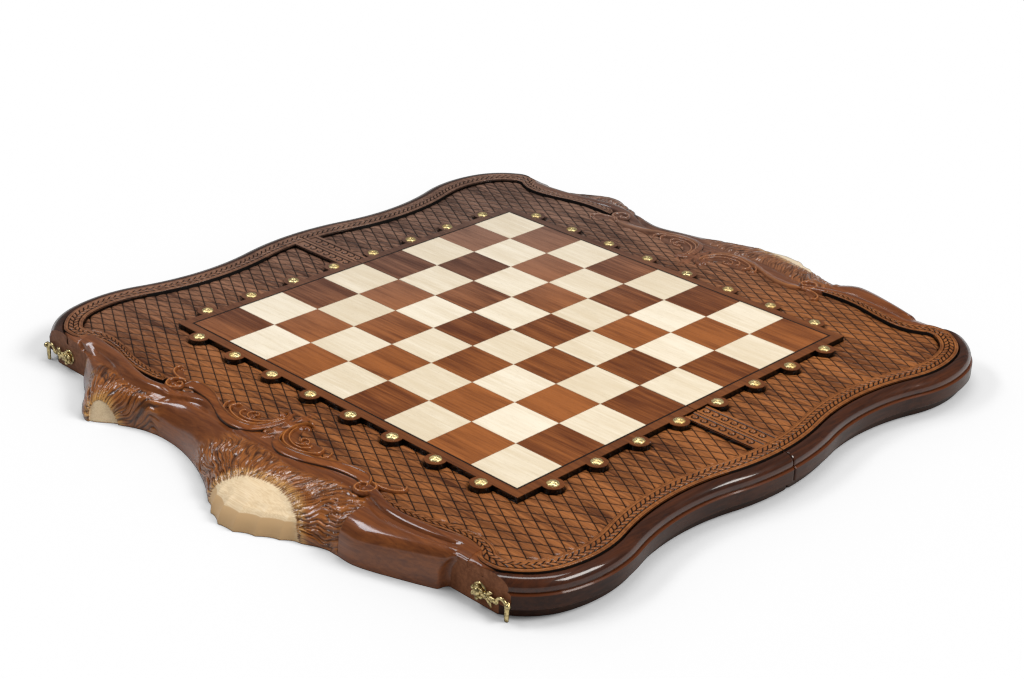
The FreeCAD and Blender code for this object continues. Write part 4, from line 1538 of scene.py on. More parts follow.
@dataclass(frozen=True)
class Apron:
    """A carved end: bark strands round two bare branch stubs, under a smooth rolled ridge."""

    form: EndForm
    top: float = 30.0
    roll_foot: float = 28.4
    roll_height: float = 3.4
    ground: float = 25.9
    scroll_width: float = 10.0
    shoulder_share: float = 0.58
    foot_level: float = 17.0
    tray_end: float = 248.0
    deck_end: float = 256.8
    deck_bottom: float = 21.9
    columns: int = 860
    outer_rows: int = 86
    ridge_rows: int = 12
    big_stub: Stub = Stub(-55.0, (48.0, 47.0), 64.0, 0.0)
    small_stub: Stub = Stub(143.0, (16.5, 11.5), 52.0, 400.0)
    strand_width: float = 2.7
    strand_length: float = 25.0
    log_end: float = -130.0
    log_blend: float = 1.3
    log_axis: float = 14.0
    log_top: float = 30.8
    log_side: float = 0.5
    log_valley: float = 0.09
    log_turn: float = 126.0
    valley_width: float = 3.5
    niche_middle: float = 234.0
    niche_half: float = 21.0
    niche_spring: float = 10.0
    niche_top: float = 30.0
    cove: Point = (4.5, 10.0)
    cove_arris: float = 2.2
    corner_start: float = 203.0
    corner_end: float = 221.0
    corner_inner: float = 257.0
    wall_height: float = 12.0
    facets: int = 6
    facet_depth: float = 2.0
    bare_span: Point = (0.86, 1.10)
    bare_slope: float = 0.44
    saw_back: float = 1.6
    saw_slope: float = 0.22
    row_power: float = 0.9
    log_fade: Point = (211.0, 224.0)
    valley_depths: Point = (1.6, 2.8)
    valley_span: Point = (55.0, 75.0)
    valley_place: float = 4.5
    valley_spread: float = 4.0
    log_dip: float = 2.5
    log_dip_run: float = 15.0
    log_dip_back: float = 0.6
    cove_steepness: float = 6.0
    arris_run: float = 3.0
    strand_heights: Point = (1.45, 0.55)
    strand_sunk: float = 0.6
    strand_fade: Point = (0.66, 0.98)
    strand_ragged: float = 9.0
    tip_length: float = 9.0
    roll_span: Point = (98.0, 116.0)
    roll_fall: float = 0.8
    foot_tuck: float = 0.8
    face_reach: float = 0.02
    shoulder: ShoulderForm = ShoulderForm()

    def log_section(self, drop: Array, ridge: Array, foot: Array) -> tuple[Array, Array]:
        """A round log over a straight side, with a valley between it and the ridge.

        Args:
            drop: The share of the way from the ridge, 0, to the foot, 1.
            ridge: The ridge's X at each station.
            foot: The foot's X at each station.

        Returns:
            X and Z of the log's surface.
        """
        last = math.radians(self.log_turn)
        half = (foot - ridge - self.valley_width) / (1.0 - math.cos(last))
        rise = self.log_top - self.log_axis
        turn = last * np.clip((self.log_side - drop) / (self.log_side - self.log_valley), 0.0, 1.0)
        side = np.clip((1.0 - drop) / (1.0 - self.log_side), 0.0, 1.0)
        back = np.clip(1.0 - drop / self.log_valley, 0.0, 1.0)
        x = foot - half + half * np.cos(turn) - self.valley_width * back
        z = side * self.log_axis + rise * np.sin(turn)
        return x, z + (self.roll_foot - self.log_axis - rise * math.sin(last)) * eased(back, 0.0, 1.0)

    def blank(self, y: Array) -> ApronSurface:
        """The uncarved form, with its valley under the ridge and its clasp lands scooped out.

        Args:
            y: The stations along the end.

        Returns:
            The surface from the foot, row by row, up to the ridge.
        """
        land = self.form.outline.land_x
        ridge, foot = self.form.ridge(y)[:, None], self.form.foot(y)[:, None]
        drop = np.linspace(1.0, 0.0, self.outer_rows + 1)[None, :] ** self.row_power
        rest = 1.0 - drop
        shoulder = ridge + self.shoulder_share * (foot - ridge)
        x = ridge * rest ** 3 + 3 * shoulder * rest ** 2 * drop + 3 * foot * rest * drop ** 2 + foot * drop ** 3
        z = (self.roll_foot * rest ** 3 + 3 * self.top * rest ** 2 * drop
             + 3 * self.foot_level * rest * drop ** 2 + 0.0 * ridge)
        wide_y = np.broadcast_to(y[:, None], x.shape)
        log_share = 1.0 - eased(wide_y, self.log_end - self.log_blend, self.log_end + self.log_blend)
        log_share = log_share * (1.0 - eased(-wide_y, *self.log_fade))
        valley = self.valley_depths[0] + self.valley_depths[1] * eased(wide_y, *self.valley_span)
        from_middle = (x - ridge - self.valley_place) / self.valley_spread
        z = z - valley * np.exp(-from_middle ** 2) * eased(drop, 0.0, 0.05)
        past_log = np.maximum(wide_y - self.log_end, 0.0)
        dip = self.log_dip / self.log_blend * np.exp(-past_log / self.log_dip_run)
        dip = dip * eased(drop, 0.05, 0.30) * (1.0 - eased(drop, 0.85, 1.0)) * (wide_y > self.log_end)
        log_x, log_z = self.log_section(drop, ridge, foot)
        x = x - self.log_dip_back * dip + (log_x - x) * log_share
        z = z - dip + (log_z - z) * log_share
        up = np.maximum(z - self.niche_spring, 0.0) / (self.niche_top - self.niche_spring)
        aside = (np.abs(wide_y) - self.niche_middle) / self.niche_half
        away = (np.hypot(aside, up) - 1.0) * self.niche_half
        wide, deep = self.cove
        cut = land + deep * (1.0 - np.sqrt(1.0 - np.clip(away / wide, 0.0, 1.0) ** 2))
        cut = cut + self.cove_steepness * np.maximum(away - wide, 0.0)
        arris = self.cove_arris * eased(away, 0.0, self.arris_run)
        x = 0.5 * (x + cut - np.sqrt((x - cut) ** 2 + arris ** 2))
        return ApronSurface(x, wide_y, z, np.broadcast_to(drop, x.shape))

    def press_stubs(self, surface: ApronSurface) -> None:
        """Planes the big stub, chisels its wall and saws the small stub off.

        Args:
            surface: The uncarved form, changed in place.
        """
        foot = surface.x.max(axis=1)[:, None]
        radius = self.big_stub.around(surface)[2]
        bare = 1.0 - eased(radius, *self.bare_span)
        plane = self.wall_height + self.bare_slope * (foot - surface.x)
        surface.z = surface.z + (np.minimum(surface.z, plane) - surface.z) * bare
        place = ((surface.y - self.big_stub.middle) / self.big_stub.size[1] + 1.0) * 0.5 * self.facets
        facet = 1.0 - (2.0 * (place % 1.0) - 1.0) ** 2
        wall = bare * (surface.drop > 0.5) * ((place > 0.0) & (place < self.facets))
        surface.x = surface.x - self.facet_depth * facet * wall * eased(surface.drop, 0.5, 0.62)
        on_saw = self.small_stub.around(surface)[2] < 1.0
        surface.x = np.where(on_saw, foot - self.saw_back - self.saw_slope * surface.z, surface.x)
        surface.values["bare"] = np.maximum(bare, on_saw)
        surface.values["sawn"] = wall * eased(surface.drop, 0.56, 0.66) * (surface.z < self.wall_height + 1.0)

    def strands(self, surface: ApronSurface) -> Array:
        """Carves the bark strands round both stubs.

        Args:
            surface: The form, which gets the strands' values.

        Returns:
            How far each point is lifted.
        """
        shape = surface.x.shape
        big, small = self.big_stub.around(surface), self.small_stub.around(surface)
        first = big[1] / self.big_stub.strand_reach < small[1] / self.small_stub.strand_reach
        turn, away = (np.where(first, big[part], small[part]).ravel() for part in range(2))
        reach = np.where(first, self.big_stub.strand_reach, self.small_stub.strand_reach).ravel()
        ragged = self.strand_ragged * wavering(np.column_stack([turn / 5.0, np.zeros((len(turn), 2))]))
        start, end = (share * reach for share in self.strand_fade)
        cover = (1.0 - eased(away + ragged, start, end)).reshape(shape)
        cover = cover * eased(surface.drop, 0.02, 0.09)
        cover = cover * eased(surface.y, self.log_end - self.log_blend, self.log_end + self.log_blend)
        flow = np.column_stack([turn, away, np.zeros(len(turn))])
        bend = wavering(flow * (0.035, 0.05, 1.0)) * 6.0 + wavering(flow * (0.11, 0.10, 1.0)) * 2.0
        turn = turn + bend * eased(away, -2.0, 12.0) * np.where(first.ravel(), 1.0, 0.5)
        cells = np.column_stack([turn / self.strand_width, away / self.strand_length, np.zeros(len(turn))])
        locks = np.clip(2.6 * np.abs(wavering(cells)), 0.0, 1.0).reshape(shape) ** 0.55
        fine = np.clip(2.6 * np.abs(wavering(cells * (2.2, 2.0, 1.0) + 7.3)), 0.0, 1.0).reshape(shape) ** 0.6
        bare = surface.values["bare"]
        surface.values["strands"] = cover * (1.0 - bare)
        # Painted shade in the grooves between the strands.
        surface.values["hollow"] = np.clip(1.0 - 1.15 * np.minimum(locks, 0.35 + 0.75 * fine), 0.0, 1.0) * cover
        surface.values["tips"] = (1.0 - eased(away, 0.0, self.tip_length)).reshape(shape) * cover
        surface.values["strand_flow"] = np.column_stack([turn, away, np.zeros(len(turn))]).reshape(*shape, 3)
        low_edge = 1.0 - 0.8 * eased(surface.drop, 0.90, 1.0)
        broad, thin = self.strand_heights
        return (broad * locks + thin * fine - self.strand_sunk) * cover * (1.0 - bare) * low_edge

    def back_rows(self, y: Array, foot: Array) -> Array:
        """The ridge's roll, the ground behind it and the tray wall down to the foot.

        Args:
            y: The stations along the end.
            foot: The foot's first row of points.

        Returns:
            Rows of points for each station.
        """
        turn = np.linspace(0.0, 1.0, self.ridge_rows + 1)[1:][None, :]
        x = self.form.ridge(y)[:, None] - self.scroll_width * turn
        rolled = eased(np.abs(y), *self.roll_span)[:, None]
        dome = np.sqrt(np.clip(1.0 - (2.0 * turn - 1.0) ** 2, 0.0, 1.0))
        z = self.roll_foot + self.roll_height * dome * rolled - self.roll_fall * (1.0 - rolled) * turn
        roll = np.stack([x, np.broadcast_to(y[:, None], x.shape), z], axis=2)
        inner = x[:, -1]
        shelf = np.minimum(inner - 0.05, self.deck_end)
        wall = np.full(len(y), self.tray_end)
        tail = [(inner, self.ground), (shelf, self.ground), (shelf, self.deck_bottom), (wall, self.deck_bottom),
                (wall, 0.0), (foot[:, 0] - self.foot_tuck, 0.0)]
        behind = [np.column_stack([place, y, np.full(len(y), level)]) for place, level in tail]
        return np.concatenate([roll, np.stack([*behind, foot], axis=1)], axis=1)

    def join_corners(self, places: Array) -> None:
        """Brings the top over to the shoulders at both corners.

        Args:
            places: The rows of points for each station, changed in place.
        """
        land = self.form.outline.land_x
        upper = places[:, :self.outer_rows + 1 + self.ridge_rows]
        x, z = upper[..., 0], upper[..., 2]
        over = np.clip((x - self.corner_inner) / (land - self.corner_inner), 0.0, 1.0)
        goal = self.shoulder.height(over, np.ones_like(over))
        share = eased(np.abs(upper[..., 1]), self.corner_start, self.corner_end)
        share = share * (z > self.roll_foot - 5.0) * (x < land + 0.2)
        upper[..., 2] = z + (goal - z) * share

    def build(self, half: Half, finishes: Finishes) -> None:
        """Shapes the end from its foot over the ridge to its tray wall.

        Args:
            half: The half it belongs to.
            finishes: The case's finishes.
        """
        corner = self.form.outline.corner_y
        y = np.linspace(-corner, corner, self.columns + 1)
        surface = self.blank(y)
        self.press_stubs(surface)
        front = surface.places(self.strands(surface))
        places = np.concatenate([front, self.back_rows(y, front[:, 0])], axis=1)
        self.join_corners(places)
        kept = {}
        for name, values in surface.values.items():
            kept[name] = np.zeros(places.shape[:2] + values.shape[2:])
            kept[name][:, :values.shape[1]] = values
        bm = lofted(places, kept, half)
        land = self.form.outline.land_x * MM
        for face in bm.faces:
            on_land = all(abs(abs(vert.co.x) - land) < self.face_reach * MM for vert in face.verts)
            face.material_index = int(on_land)
        publish(bm, f"{half.label}_apron", half.body, [finishes.bark, finishes.land],
                [f"{half.label}_end_block"], 55.0)


@dataclass(frozen=True)
class Relief:
    """A raised carving that follows a line in plan."""

    stops: tuple[Point, ...]
    widths: tuple[float, ...]
    height: float
    section: Section
    base: float = 27.2
    foot: float = 25.9
    rim_side: float = -1.0
    # How strong the painted highlight is.
    highlight_amount: float = 0.85
    step: float = 0.7
    across: int = 16

    def build(self, half: Half, side: Side) -> Mesh:
        """Sweeps the section along the line, thinning at both ends.

        Args:
            half: The half it belongs to.
            side: The end of the split it is on.

        Returns:
            The closed mesh.
        """
        line = smooth_line(self.stops, self.step)
        left = left_of(line)
        share = np.linspace(0.0, 1.0, len(line))
        half_widths = np.interp(share, np.linspace(0.0, 1.0, len(self.widths)), self.widths)
        ends = np.minimum(eased(share, 0.0, 0.05), eased(1.0 - share, 0.0, 0.05))
        half_widths = half_widths * (0.35 + 0.65 * ends)

        def shape(along: Array, over: Array) -> Carving:
            """The section at each step of the line."""
            index = steps_of(along, len(line))
            across = 2.0 * over - 1.0
            plan = line[index] + left[index] * (across * half_widths[index])[:, None]
            dome = np.sqrt(np.clip(1.0 - across ** 2, 0.0, 1.0))
            # Painted shade at the edges and channels, painted highlight along the crests.
            hollow, worn = np.zeros(len(across)), np.zeros(len(across))
            if self.section is Section.SLOPE:
                rim = across * self.rim_side
                worn = np.exp(-((rim - 0.80) / 0.12) ** 2)
                dome = (0.58 + 0.20 * rim) * np.clip(1.0 - across ** 8, 0.0, 1.0) + 0.34 * worn
                hollow = np.maximum(0.7 * np.exp(-((rim - 0.56) / 0.10) ** 2), eased(-rim, 0.78, 0.93))
            elif self.section is Section.PAD:
                dome = np.clip(1.0 - across ** 6, 0.0, 1.0)
                hollow = 0.48 + 0.5 * across ** 4
            else:
                worn = 0.8 * np.exp(-(across / 0.45) ** 2)
                hollow = eased(np.abs(across), 0.75, 1.0)
            level = self.base + self.height * dome * (0.25 + 0.75 * ends[index])
            return Carving(placed(plan, level, half, side), {"hollow": hollow, "worn": worn * self.highlight_amount})

        return close_below(grid(len(line) - 1, self.across, shape), self.foot, 0)


@dataclass(frozen=True)
class Leaf:
    """A domed acanthus leaf with lobes and veins, pointing inwards."""

    root: Point
    tip: Point
    half_width: float
    height: float = 3.0
    lobes: float = 3.5
    base: float = 27.0
    foot: float = 25.9
    faces: tuple[int, int] = (44, 20)

    def build(self, half: Half, side: Side) -> Mesh:
        """Shapes the leaf.

        Args:
            half: The half it belongs to.
            side: The end of the split it is on.

        Returns:
            The closed mesh.
        """
        root, tip = np.array(self.root), np.array(self.tip)
        ahead = (tip - root) / np.linalg.norm(tip - root)
        aside = np.array([-ahead[1], ahead[0]])

        def shape(along: Array, over: Array) -> Carving:
            """The leaf from its root to its tip."""
            across = 2.0 * over - 1.0
            lobe = 0.80 + 0.20 * np.abs(np.cos(math.pi * self.lobes * along))
            swell = np.sin(math.pi * np.clip(0.10 + 0.90 * along, 0, 1))
            outline = self.half_width * np.clip(swell, 0.03, 1) ** 0.7
            width = outline * (1.0 + (lobe - 1.0) * np.abs(across))
            lean = 0.18 * self.half_width * np.abs(across)
            plan = root + np.outer(along * np.linalg.norm(tip - root) + lean, ahead)
            plan = plan + np.outer(across * width, aside)
            vein = np.exp(-(across / 0.12) ** 2)
            ribs = 0.5 + 0.5 * np.cos(2 * math.pi * (self.lobes * along - 0.5 * np.abs(across)))
            dome = np.sqrt(np.clip(1.0 - across ** 2, 0.0, 1.0))
            dome = dome * np.sin(math.pi * np.clip(along, 0.02, 0.98)) ** 0.4
            level = self.base + self.height * dome * (0.72 + 0.28 * ribs) + 0.8 * vein * dome
            # Painted shade between the ribs.
            return Carving(placed(plan, level, half, side), {"hollow": 0.7 * (1.0 - ribs) * (1.0 - vein)})

        return close_below(grid(*self.faces, shape), self.foot, 0)


@dataclass(frozen=True)
class Bead:
    """A small domed button at the heart of a scroll."""

    place: Point
    radius: float
    height: float = 3.4
    base: float = 27.0
    foot: float = 25.9

    def build(self, half: Half, side: Side) -> Mesh:
        """Shapes the bead from half a ball.

        Args:
            half: The half it belongs to.
            side: The end of the split it is on.

        Returns:
            The closed mesh.
        """
        bm = bmesh.new()
        bmesh.ops.create_uvsphere(bm, u_segments=20, v_segments=12, radius=self.radius * MM)
        bmesh.ops.bisect_plane(bm, geom=bm.verts[:] + bm.edges[:] + bm.faces[:], plane_co=(0, 0, 0),
                               plane_no=(0, 0, -1), clear_outer=True)
        bmesh.ops.scale(bm, verts=bm.verts, vec=(1.0, 1.0, self.height / self.radius))
        bmesh.ops.translate(bm, verts=bm.verts, vec=(self.place[0] * half.value * MM,
                                                     self.place[1] * side.value * MM, self.base * MM))
        return close_below(bm, self.foot, 0)


@dataclass(frozen=True)
class Scrolls:
    """The scrolls and leaves between the ground and the carved end."""

    reach: float = 276.9
    middle_leaf: Leaf = Leaf((270.0, 0.0), (211.0, 0.0), 7.5, 3.2, 4.5)

    def pieces(self) -> list[Relief | Leaf | Bead]:
        """The carvings of one side, in millimetres from the middle of the split."""
        stem = ((260.0, 108.5), (254.6, 99.0), (254.8, 87.0), (257.2, 75.0), (262.2, 62.5), (267.0, 50.5),
                (270.2, 38.0), (270.6, 25.5), (266.6, 14.6), (258.0, 9.0), (247.0, 6.4), (238.0, 6.4),
                (232.4, 9.4), (230.0, 15.0), (232.4, 19.4))
        return [
            Relief(((263.6, 52.0), (264.4, 38.0), (260.4, 23.0), (250.0, 13.0), (240.0, 12.0)),
                   (6.0, 8.0, 10.0, 8.5, 6.0), 2.3, Section.PAD),
            Relief(((252.6, 52.0), (253.0, 42.0), (252.6, 32.0)), (6.5, 8.0, 7.0), 2.1, Section.PAD),
            Relief(((253.0, 116.0), (251.0, 124.0), (247.0, 129.0)), (3.2, 4.6, 4.2), 2.1, Section.PAD),
            Relief(stem, (5.0, 5.6, 5.4, 4.6, 3.6, 3.6, 4.4, 4.6, 4.2, 3.0, 2.3, 2.1, 1.9, 1.7), 4.4, Section.SLOPE,
                   base=27.9),
            Relief(((236.6, 6.2), (246.2, 7.4), (255.4, 11.0), (262.4, 18.0), (265.4, 29.0), (263.3, 42.0),
                    (258.5, 50.4), (252.1, 50.8), (247.3, 46.6)), (1.3, 1.6, 1.6, 1.3), 4.3, Section.ROUND),
            Relief(((239.0, 9.4), (248.6, 11.4), (256.2, 17.4), (260.4, 27.0), (260.0, 36.4), (255.2, 40.2),
                    (250.4, 38.0)), (1.2, 1.5, 1.5, 1.2), 3.9, Section.ROUND),
            Relief(((264.6, 50.0), (260.0, 56.4), (253.6, 59.4), (247.6, 57.0)), (1.2, 1.3, 1.2, 0.9), 3.5,
                   Section.ROUND),
            Relief(((258.4, 25.0), (256.4, 32.0), (251.4, 34.2), (248.0, 30.4), (249.6, 25.8), (253.4, 27.0)),
                   (0.9, 1.1, 1.1, 0.9), 3.4, Section.ROUND),
            Bead((264.6, 111.6), 7.4, 2.9),
            Relief(((256.0, 108.0), (258.2, 116.6), (264.8, 119.4), (271.0, 114.6), (270.8, 107.0), (264.0, 104.6),
                    (260.4, 109.0), (264.6, 112.6)), (1.6, 2.0, 2.0, 1.8, 1.3), 4.6, Section.ROUND),
            Relief(((255.0, 110.0), (256.0, 118.6), (254.0, 127.0), (249.8, 132.4), (244.6, 133.4), (241.4, 130.0)),
                   (1.2, 1.7, 1.8, 1.6, 1.1), 4.0, Section.ROUND),
            Bead((244.8, 129.4), 2.4, 3.4),
            Leaf((262.0, 6.0), (222.0, 12.0), 6.0, 2.6, 3.5),
            Bead((265.6, 112.0), 3.0, 4.2),
            Bead((236.4, 14.6), 3.8, 3.9),
            Bead((253.0, 29.6), 2.6, 2.9),
        ]

    def build(self, half: Half, finishes: Finishes) -> None:
        """Carves both sides and the middle leaf.

        Args:
            half: The half it belongs to.
            finishes: The case's finishes.
        """
        parts = [piece.build(half, side) for side in Side for piece in self.pieces()]
        parts.append(self.middle_leaf.build(half, Side.LEFT))
        bm = gathered(parts)
        cut_past(bm, self.reach, half)
        publish(bm, f"{half.label}_scrolls", half.body, [finishes.scroll], crease=60.0)


@dataclass(frozen=True)
class Clasps:
    """Cast hooks with their pivots and plates on the near half, and catch posts on the far half.

    A casting's places are millimetres out from the middle of the case, along from the pivot and up from the floor.
    """

    place: float = 241.035
    level: float = 11.0
    land: float = 277.0
    plane: float = 279.5
    throw: float = 22.3
    bow: float = 4.4
    peg_foot: float = 0.6

    def set_up(self, bm: Mesh, half: Half, side: Side) -> Mesh:
        """Moves a casting to its clasp and turns its faces outwards.

        Args:
            bm: The casting, changed in place.
            half: The half it belongs to.
            side: The end of the split it is on.

        Returns:
            The same casting.
        """
        turn = Matrix(((half.value, 0.0, 0.0), (0.0, side.value, 0.0), (0.0, 0.0, 1.0)))
        bmesh.ops.transform(bm, matrix=turn.to_4x4(), verts=bm.verts)
        bmesh.ops.translate(bm, verts=bm.verts, vec=(0.0, self.place * side.value * MM, 0.0))
        bmesh.ops.recalc_face_normals(bm, faces=bm.faces)
        return bm

    def turned(self, profile: Sequence[Point]) -> Mesh:
        """Turns a profile of radius and reach round the pivot's axis.

        Args:
            profile: Radii and reaches from the land outwards, starting and ending on the axis.

        Returns:
            The closed mesh.
        """
        bm = bmesh.new()
        verts = [bm.verts.new((out * MM, 0.0, (self.level + radius) * MM)) for radius, out in profile]
        edges = [bm.edges.new(pair) for pair in zip(verts, verts[1:])]
        bmesh.ops.spin(bm, geom=verts + edges, cent=(0.0, 0.0, self.level * MM), axis=(1.0, 0.0, 0.0),
                       angle=2 * math.pi, steps=32, use_merge=True)
        return merge_points(bm)

    def bar(self, stops: Sequence[Point], widths: Sequence[float], depths: Sequence[float]) -> Mesh:
        """Sweeps an oval along a line in the hook's plane.

        Args:
            stops: Places along and up that the line passes.
            widths: Half the bar's width in the plane, spread over its length.
            depths: Half its thickness, spread likewise.

        Returns:
            The closed mesh.
        """
        line = smooth_line(stops, 0.5)
        left = left_of(line)
        share = np.linspace(0.0, 1.0, len(line))
        wide, deep = (np.interp(share, np.linspace(0.0, 1.0, len(sizes)), sizes) for sizes in (widths, depths))

        def shape(along: Array, around: Array) -> Carving:
            """The oval at each step of the line."""
            index = steps_of(along, len(line))
            angle = 2 * math.pi * around
            plan = line[index] + left[index] * (wide[index] * np.cos(angle))[:, None]
            return Carving(np.column_stack([self.plane + deep[index] * np.sin(angle), plan]))

        return close_seams(grid(len(line) - 1, 16, shape))

    def bead(self, along: float, up: float, radius: float, out: float) -> Mesh:
        """A small ball on the casting.

        Args:
            along: Its place along from the pivot.
            up: Its height above the floor.
            radius: Its radius.
            out: Its place out from the split.

        Returns:
            The closed mesh.
        """
        bm = bmesh.new()
        bmesh.ops.create_uvsphere(bm, u_segments=16, v_segments=10, radius=radius * MM)
        bmesh.ops.translate(bm, verts=bm.verts, vec=(out * MM, along * MM, up * MM))
        return bm

    def hook(self) -> list[Mesh]:
        """The hook's castings: a beaded eye, a leafy arm, a bow, a knob and a peg."""
        level, throw, bow = self.level, self.throw, self.bow
        ring = [math.radians(angle) for angle in range(30, 360, 60)]
        parts = [self.turned(((1.7, 278.5), (4.4, 278.5), (4.9, 279.2), (4.6, 280.4), (3.4, 280.7), (1.7, 280.5),
                              (1.7, 278.5)))]
        parts += [self.bead(4.5 * math.cos(turn), level + 4.5 * math.sin(turn), 1.75, 280.1) for turn in ring]
        arc = [(throw - bow * math.cos(turn), level + bow * math.sin(turn)) for turn in np.linspace(0.0, math.pi, 9)]
        end = throw + bow + 0.5
        knob = end + 0.7
        arm = ([(3.5, level), (9.0, level), (14.0, level), (throw - bow - 0.3, level - 0.4), *arc[1:]],
               (1.6, 2.7, 1.6, 2.0, 1.4, 1.4, 1.4, 1.5), (1.4, 2.0, 1.4, 1.3, 1.2, 1.2, 1.2, 1.2))
        lower_leaf = ([(7.5, level - 1.0), (10.5, level - 3.0), (13.0, level - 6.6)],
                      (0.9, 1.7, 0.3), (0.9, 1.1, 0.4))
        upper_leaf = ([(8.5, level + 1.0), (11.0, level + 3.6), (13.6, level + 4.6)],
                      (0.9, 1.6, 0.4), (0.9, 1.1, 0.4))
        grip = ([(knob, level + rise) for rise in (4.8, 4.2, 2.2, 0.4, -0.6)],
                (0.5, 2.2, 2.5, 2.4, 1.7), (0.4, 1.15, 1.2, 1.2, 1.15))
        peg = ([(end, level + 0.5), (end, 6.0), (end, self.peg_foot)], (2.1, 1.9, 1.6), (1.25, 1.2, 1.15))
        parts += [self.bar(*bar) for bar in (arm, lower_leaf, upper_leaf, grip, peg)]
        parts += [self.bead(9.6, level, 1.5, 280.7), self.bead(14.4, level, 1.4, 280.5),
                  self.bead(knob + 0.9, level + 1.9, 2.0, 280.25)]
        return parts

    def build(self, side: Side, finishes: Finishes) -> None:
        """Casts both halves of one clasp.

        Args:
            side: The end of the split it is on.
            finishes: The case's finishes.
        """
        plate = ((0.0, self.land), (6.5, self.land), (6.5, 277.6), (6.1, 278.05), (5.2, 278.2))
        pieces = (
            ("clasp_base", Half.NEAR, "near_half", [self.turned((*plate, (0.0, 278.2)))]),
            ("clasp_pivot", Half.NEAR, "near_half",
             [self.turned(((0.0, 278.2), (1.5, 278.2), (1.5, 280.75), (2.9, 280.8), (3.1, 281.3), (2.7, 282.0),
                           (1.6, 282.5), (0.0, 282.7)))]),
            ("hook", Half.NEAR, f"{side.label}_hook", self.hook()),
            ("catch_post", Half.FAR, "far_half",
             [self.turned((*plate, (3.6, 278.2), (2.5, 278.5), (2.5, 280.7), (3.4, 280.85), (3.6, 281.3),
                           (3.2, 281.9), (1.8, 282.25), (0.0, 282.3)))]),
        )
        for name, half, body, parts in pieces:
            node = f"{side.label}_{name}"
            bm = self.set_up(gathered(parts), half, side)
            publish(bm, f"{node}_casting", body, [finishes.clasp], [node], 50.0)


@dataclass(frozen=True)
class FrameDress:
    """Finishes for the frame's own pieces that stay in sight."""

    def by_ending(self, finishes: Finishes) -> dict[str, bpy.types.Material]:
        """The finish for each ending of a node's name."""
        return {
            "deck": finishes.deck, "hinge_rail": finishes.rail, "field_plate": finishes.plate,
            "light_squares": finishes.light_tile, "dark_squares": finishes.dark_tile,
            "stringing": finishes.stringing, "floor": finishes.inside, "light_points": finishes.light_point,
            "dark_points": finishes.dark_point, "hinge_leaves": finishes.hinge, "hinge_pins": finishes.hinge,
            "hinge_screws": finishes.hinge, "hinge_links": finishes.hinge, "clasp_base": finishes.clasp,
            "clasp_pivot": finishes.clasp, "hook": finishes.clasp, "catch_post": finishes.clasp,
            "rail": finishes.moulding, "end_block": finishes.bark, "field_nails": finishes.nail,
        }

    def build(self, finishes: Finishes) -> None:
        """Puts a finish on every node.

        Args:
            finishes: The case's finishes.
        """
        endings = self.by_ending(finishes)
        for name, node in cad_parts.items():
            material = next(endings[ending] for ending in endings if name.endswith(ending))
            node.data.materials.clear()
            node.data.materials.append(material)
            log.info("%s: %s", name, material.name)


@dataclass(frozen=True)
class Lamp:
    """A soft rectangular lamp that faces the case, in metres and watts."""

    name: str
    place: Place
    size: Point
    power: float
    colour: Colour = (1.0, 1.0, 1.0)

    def hang(self) -> None:
        """Puts the lamp in its place."""
        data = bpy.data.lights.new(self.name, "AREA")
        data.shape = "RECTANGLE"
        data.size, data.size_y = self.size
        data.energy = self.power
        data.color = self.colour
        lamp = bpy.data.objects.new(self.name, data)
        lamp.location = self.place
        lamp.rotation_mode = "QUATERNION"
        lamp.rotation_quaternion = (-Vector(self.place)).to_track_quat("-Z", "Y")
        bpy.context.scene.collection.objects.link(lamp)


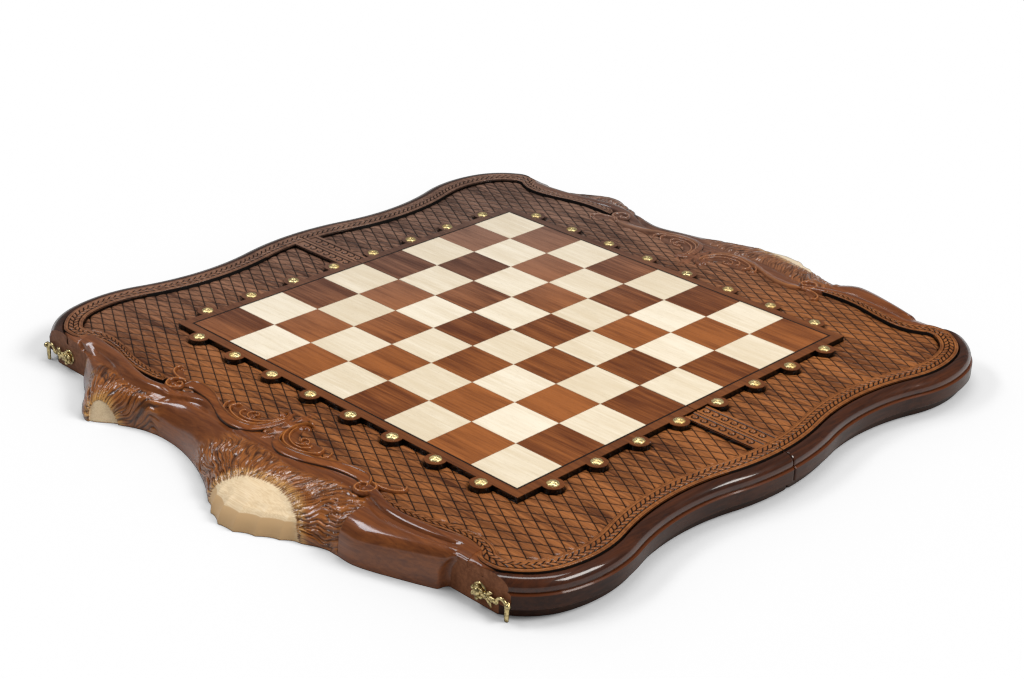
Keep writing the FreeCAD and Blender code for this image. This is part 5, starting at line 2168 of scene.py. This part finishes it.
@dataclass(frozen=True)
class Studio:
    """A pale floor that shows the case's shadow, soft lamps and the camera."""

    camera_place: Place = (-1.04307, -0.99238, 0.70777)
    yaw: float = 43.5827
    pitch: float = 25.4511
    roll: float = 1.7221
    lens: float = 66.64
    sensor: float = 36.0
    sight: float = 60.0
    floor_size: float = 14.0
    floor_colour: Colour = (0.55, 0.55, 0.55)
    floor_roughness: float = 0.9
    wall_fade: Point = (0.0, 8.0)
    ceiling: float = 0.12
    ambient: float = 0.40
    lamps: tuple[Lamp, ...] = (
        Lamp("overhead_lamp", (0.30, 0.20, 1.75), (1.0, 0.45), 8.0),
        Lamp("left_lamp", (-0.70, 0.85, 1.40), (1.0, 0.36), 10.5, (0.90, 0.94, 1.0)),
        Lamp("right_lamp", (0.40, -1.20, 1.30), (0.95, 0.55), 20.0, (1.0, 0.97, 0.92)),
    )

    def make_camera(self) -> None:
        """Sets the camera at the photograph's angle."""
        yaw, pitch, roll = (math.radians(angle) for angle in (self.yaw, self.pitch, self.roll))
        ahead = Vector((math.cos(yaw) * math.cos(pitch), math.sin(yaw) * math.cos(pitch), -math.sin(pitch)))
        level = Vector((math.sin(yaw), -math.cos(yaw), 0.0))
        above = level.cross(ahead)
        right = math.cos(roll) * level + math.sin(roll) * above
        up = math.cos(roll) * above - math.sin(roll) * level
        data = bpy.data.cameras.new("camera")
        data.lens = self.lens
        data.sensor_width = self.sensor
        data.clip_end = self.sight
        camera = bpy.data.objects.new("camera", data)
        turned = Matrix((right, up, -ahead)).transposed().to_4x4()
        camera.matrix_world = Matrix.Translation(self.camera_place) @ turned
        bpy.context.scene.collection.objects.link(camera)
        bpy.context.scene.camera = camera

    def make_floor(self) -> None:
        """Lays a plain pale floor that shows the case's shadow."""
        bm = bmesh.new()
        bmesh.ops.create_grid(bm, x_segments=1, y_segments=1, size=self.floor_size / 2)
        mesh = bpy.data.meshes.new("floor_sheet")
        bm.to_mesh(mesh)
        bm.free()
        bench = NodeBench(bpy.data.materials.new("floor_white"))
        bench.shade(Base_Color=self.floor_colour, Roughness=self.floor_roughness)
        mesh.materials.append(bench.owner)
        sheet = bpy.data.objects.new("floor_sheet", mesh)
        sheet.is_shadow_catcher = True
        bpy.context.scene.collection.objects.link(sheet)

    def make_world(self) -> None:
        """Lights the case softly from all round, before a white background."""
        world = bpy.data.worlds.new("studio")
        bpy.context.scene.world = world
        bench = NodeBench(world)
        path = bench.add("LightPath").outputs
        height = bench.add("SeparateXYZ", {0: bench.add("TexCoord").outputs["Generated"]}).outputs["Z"]
        low, high = (math.sin(math.radians(angle)) for angle in self.wall_fade)
        wall = bench.add("MapRange", {"Value": height, "From Min": low, "From Max": high, "To Min": 1.0,
                                      "To Max": self.ceiling}).outputs[0]
        seen = bench.math("MAXIMUM", path["Is Camera Ray"], path["Is Transmission Ray"])
        seen = bench.math("MAXIMUM", seen, bench.math("MULTIPLY", path["Is Glossy Ray"], wall))
        soft = bench.math("MULTIPLY", path["Is Diffuse Ray"], self.ambient)
        back = bench.tree.nodes["Background"].inputs
        bench.put(back["Strength"], bench.math("MAXIMUM", seen, soft))
        bench.put(back["Color"], (1.0, 1.0, 1.0))

    def build(self) -> None:
        """Sets up the whole studio."""
        self.make_camera()
        self.make_floor()
        self.make_world()
        for lamp in self.lamps:
            lamp.hang()
        bpy.context.scene.view_settings.view_transform = "Standard"


def main() -> None:
    """Builds the case's pieces in order."""
    logging.basicConfig(level=logging.INFO, format="%(name)s: %(message)s")
    finishes = Finishes()
    FrameDress().build(finishes)
    outline = CaseOutline()
    end = EndForm(outline)
    border = Border(outline)
    for half in Half:
        for side in Side:
            SideRail(outline).build(half, side, finishes)
            border.build(half, side, finishes)
            Shoulder(outline).build(half, side, finishes)
            Strap().build(half, side, finishes)
        LatticeGround(border, end).build(half, finishes)
        Apron(end, log_blend=LOG_BLEND[half]).build(half, finishes)
        Scrolls().build(half, finishes)
        FieldNails().build(half, finishes)
    for side in Side:
        Clasps().build(side, finishes)
    Studio().build()


if __name__ == "__main__":
    main()
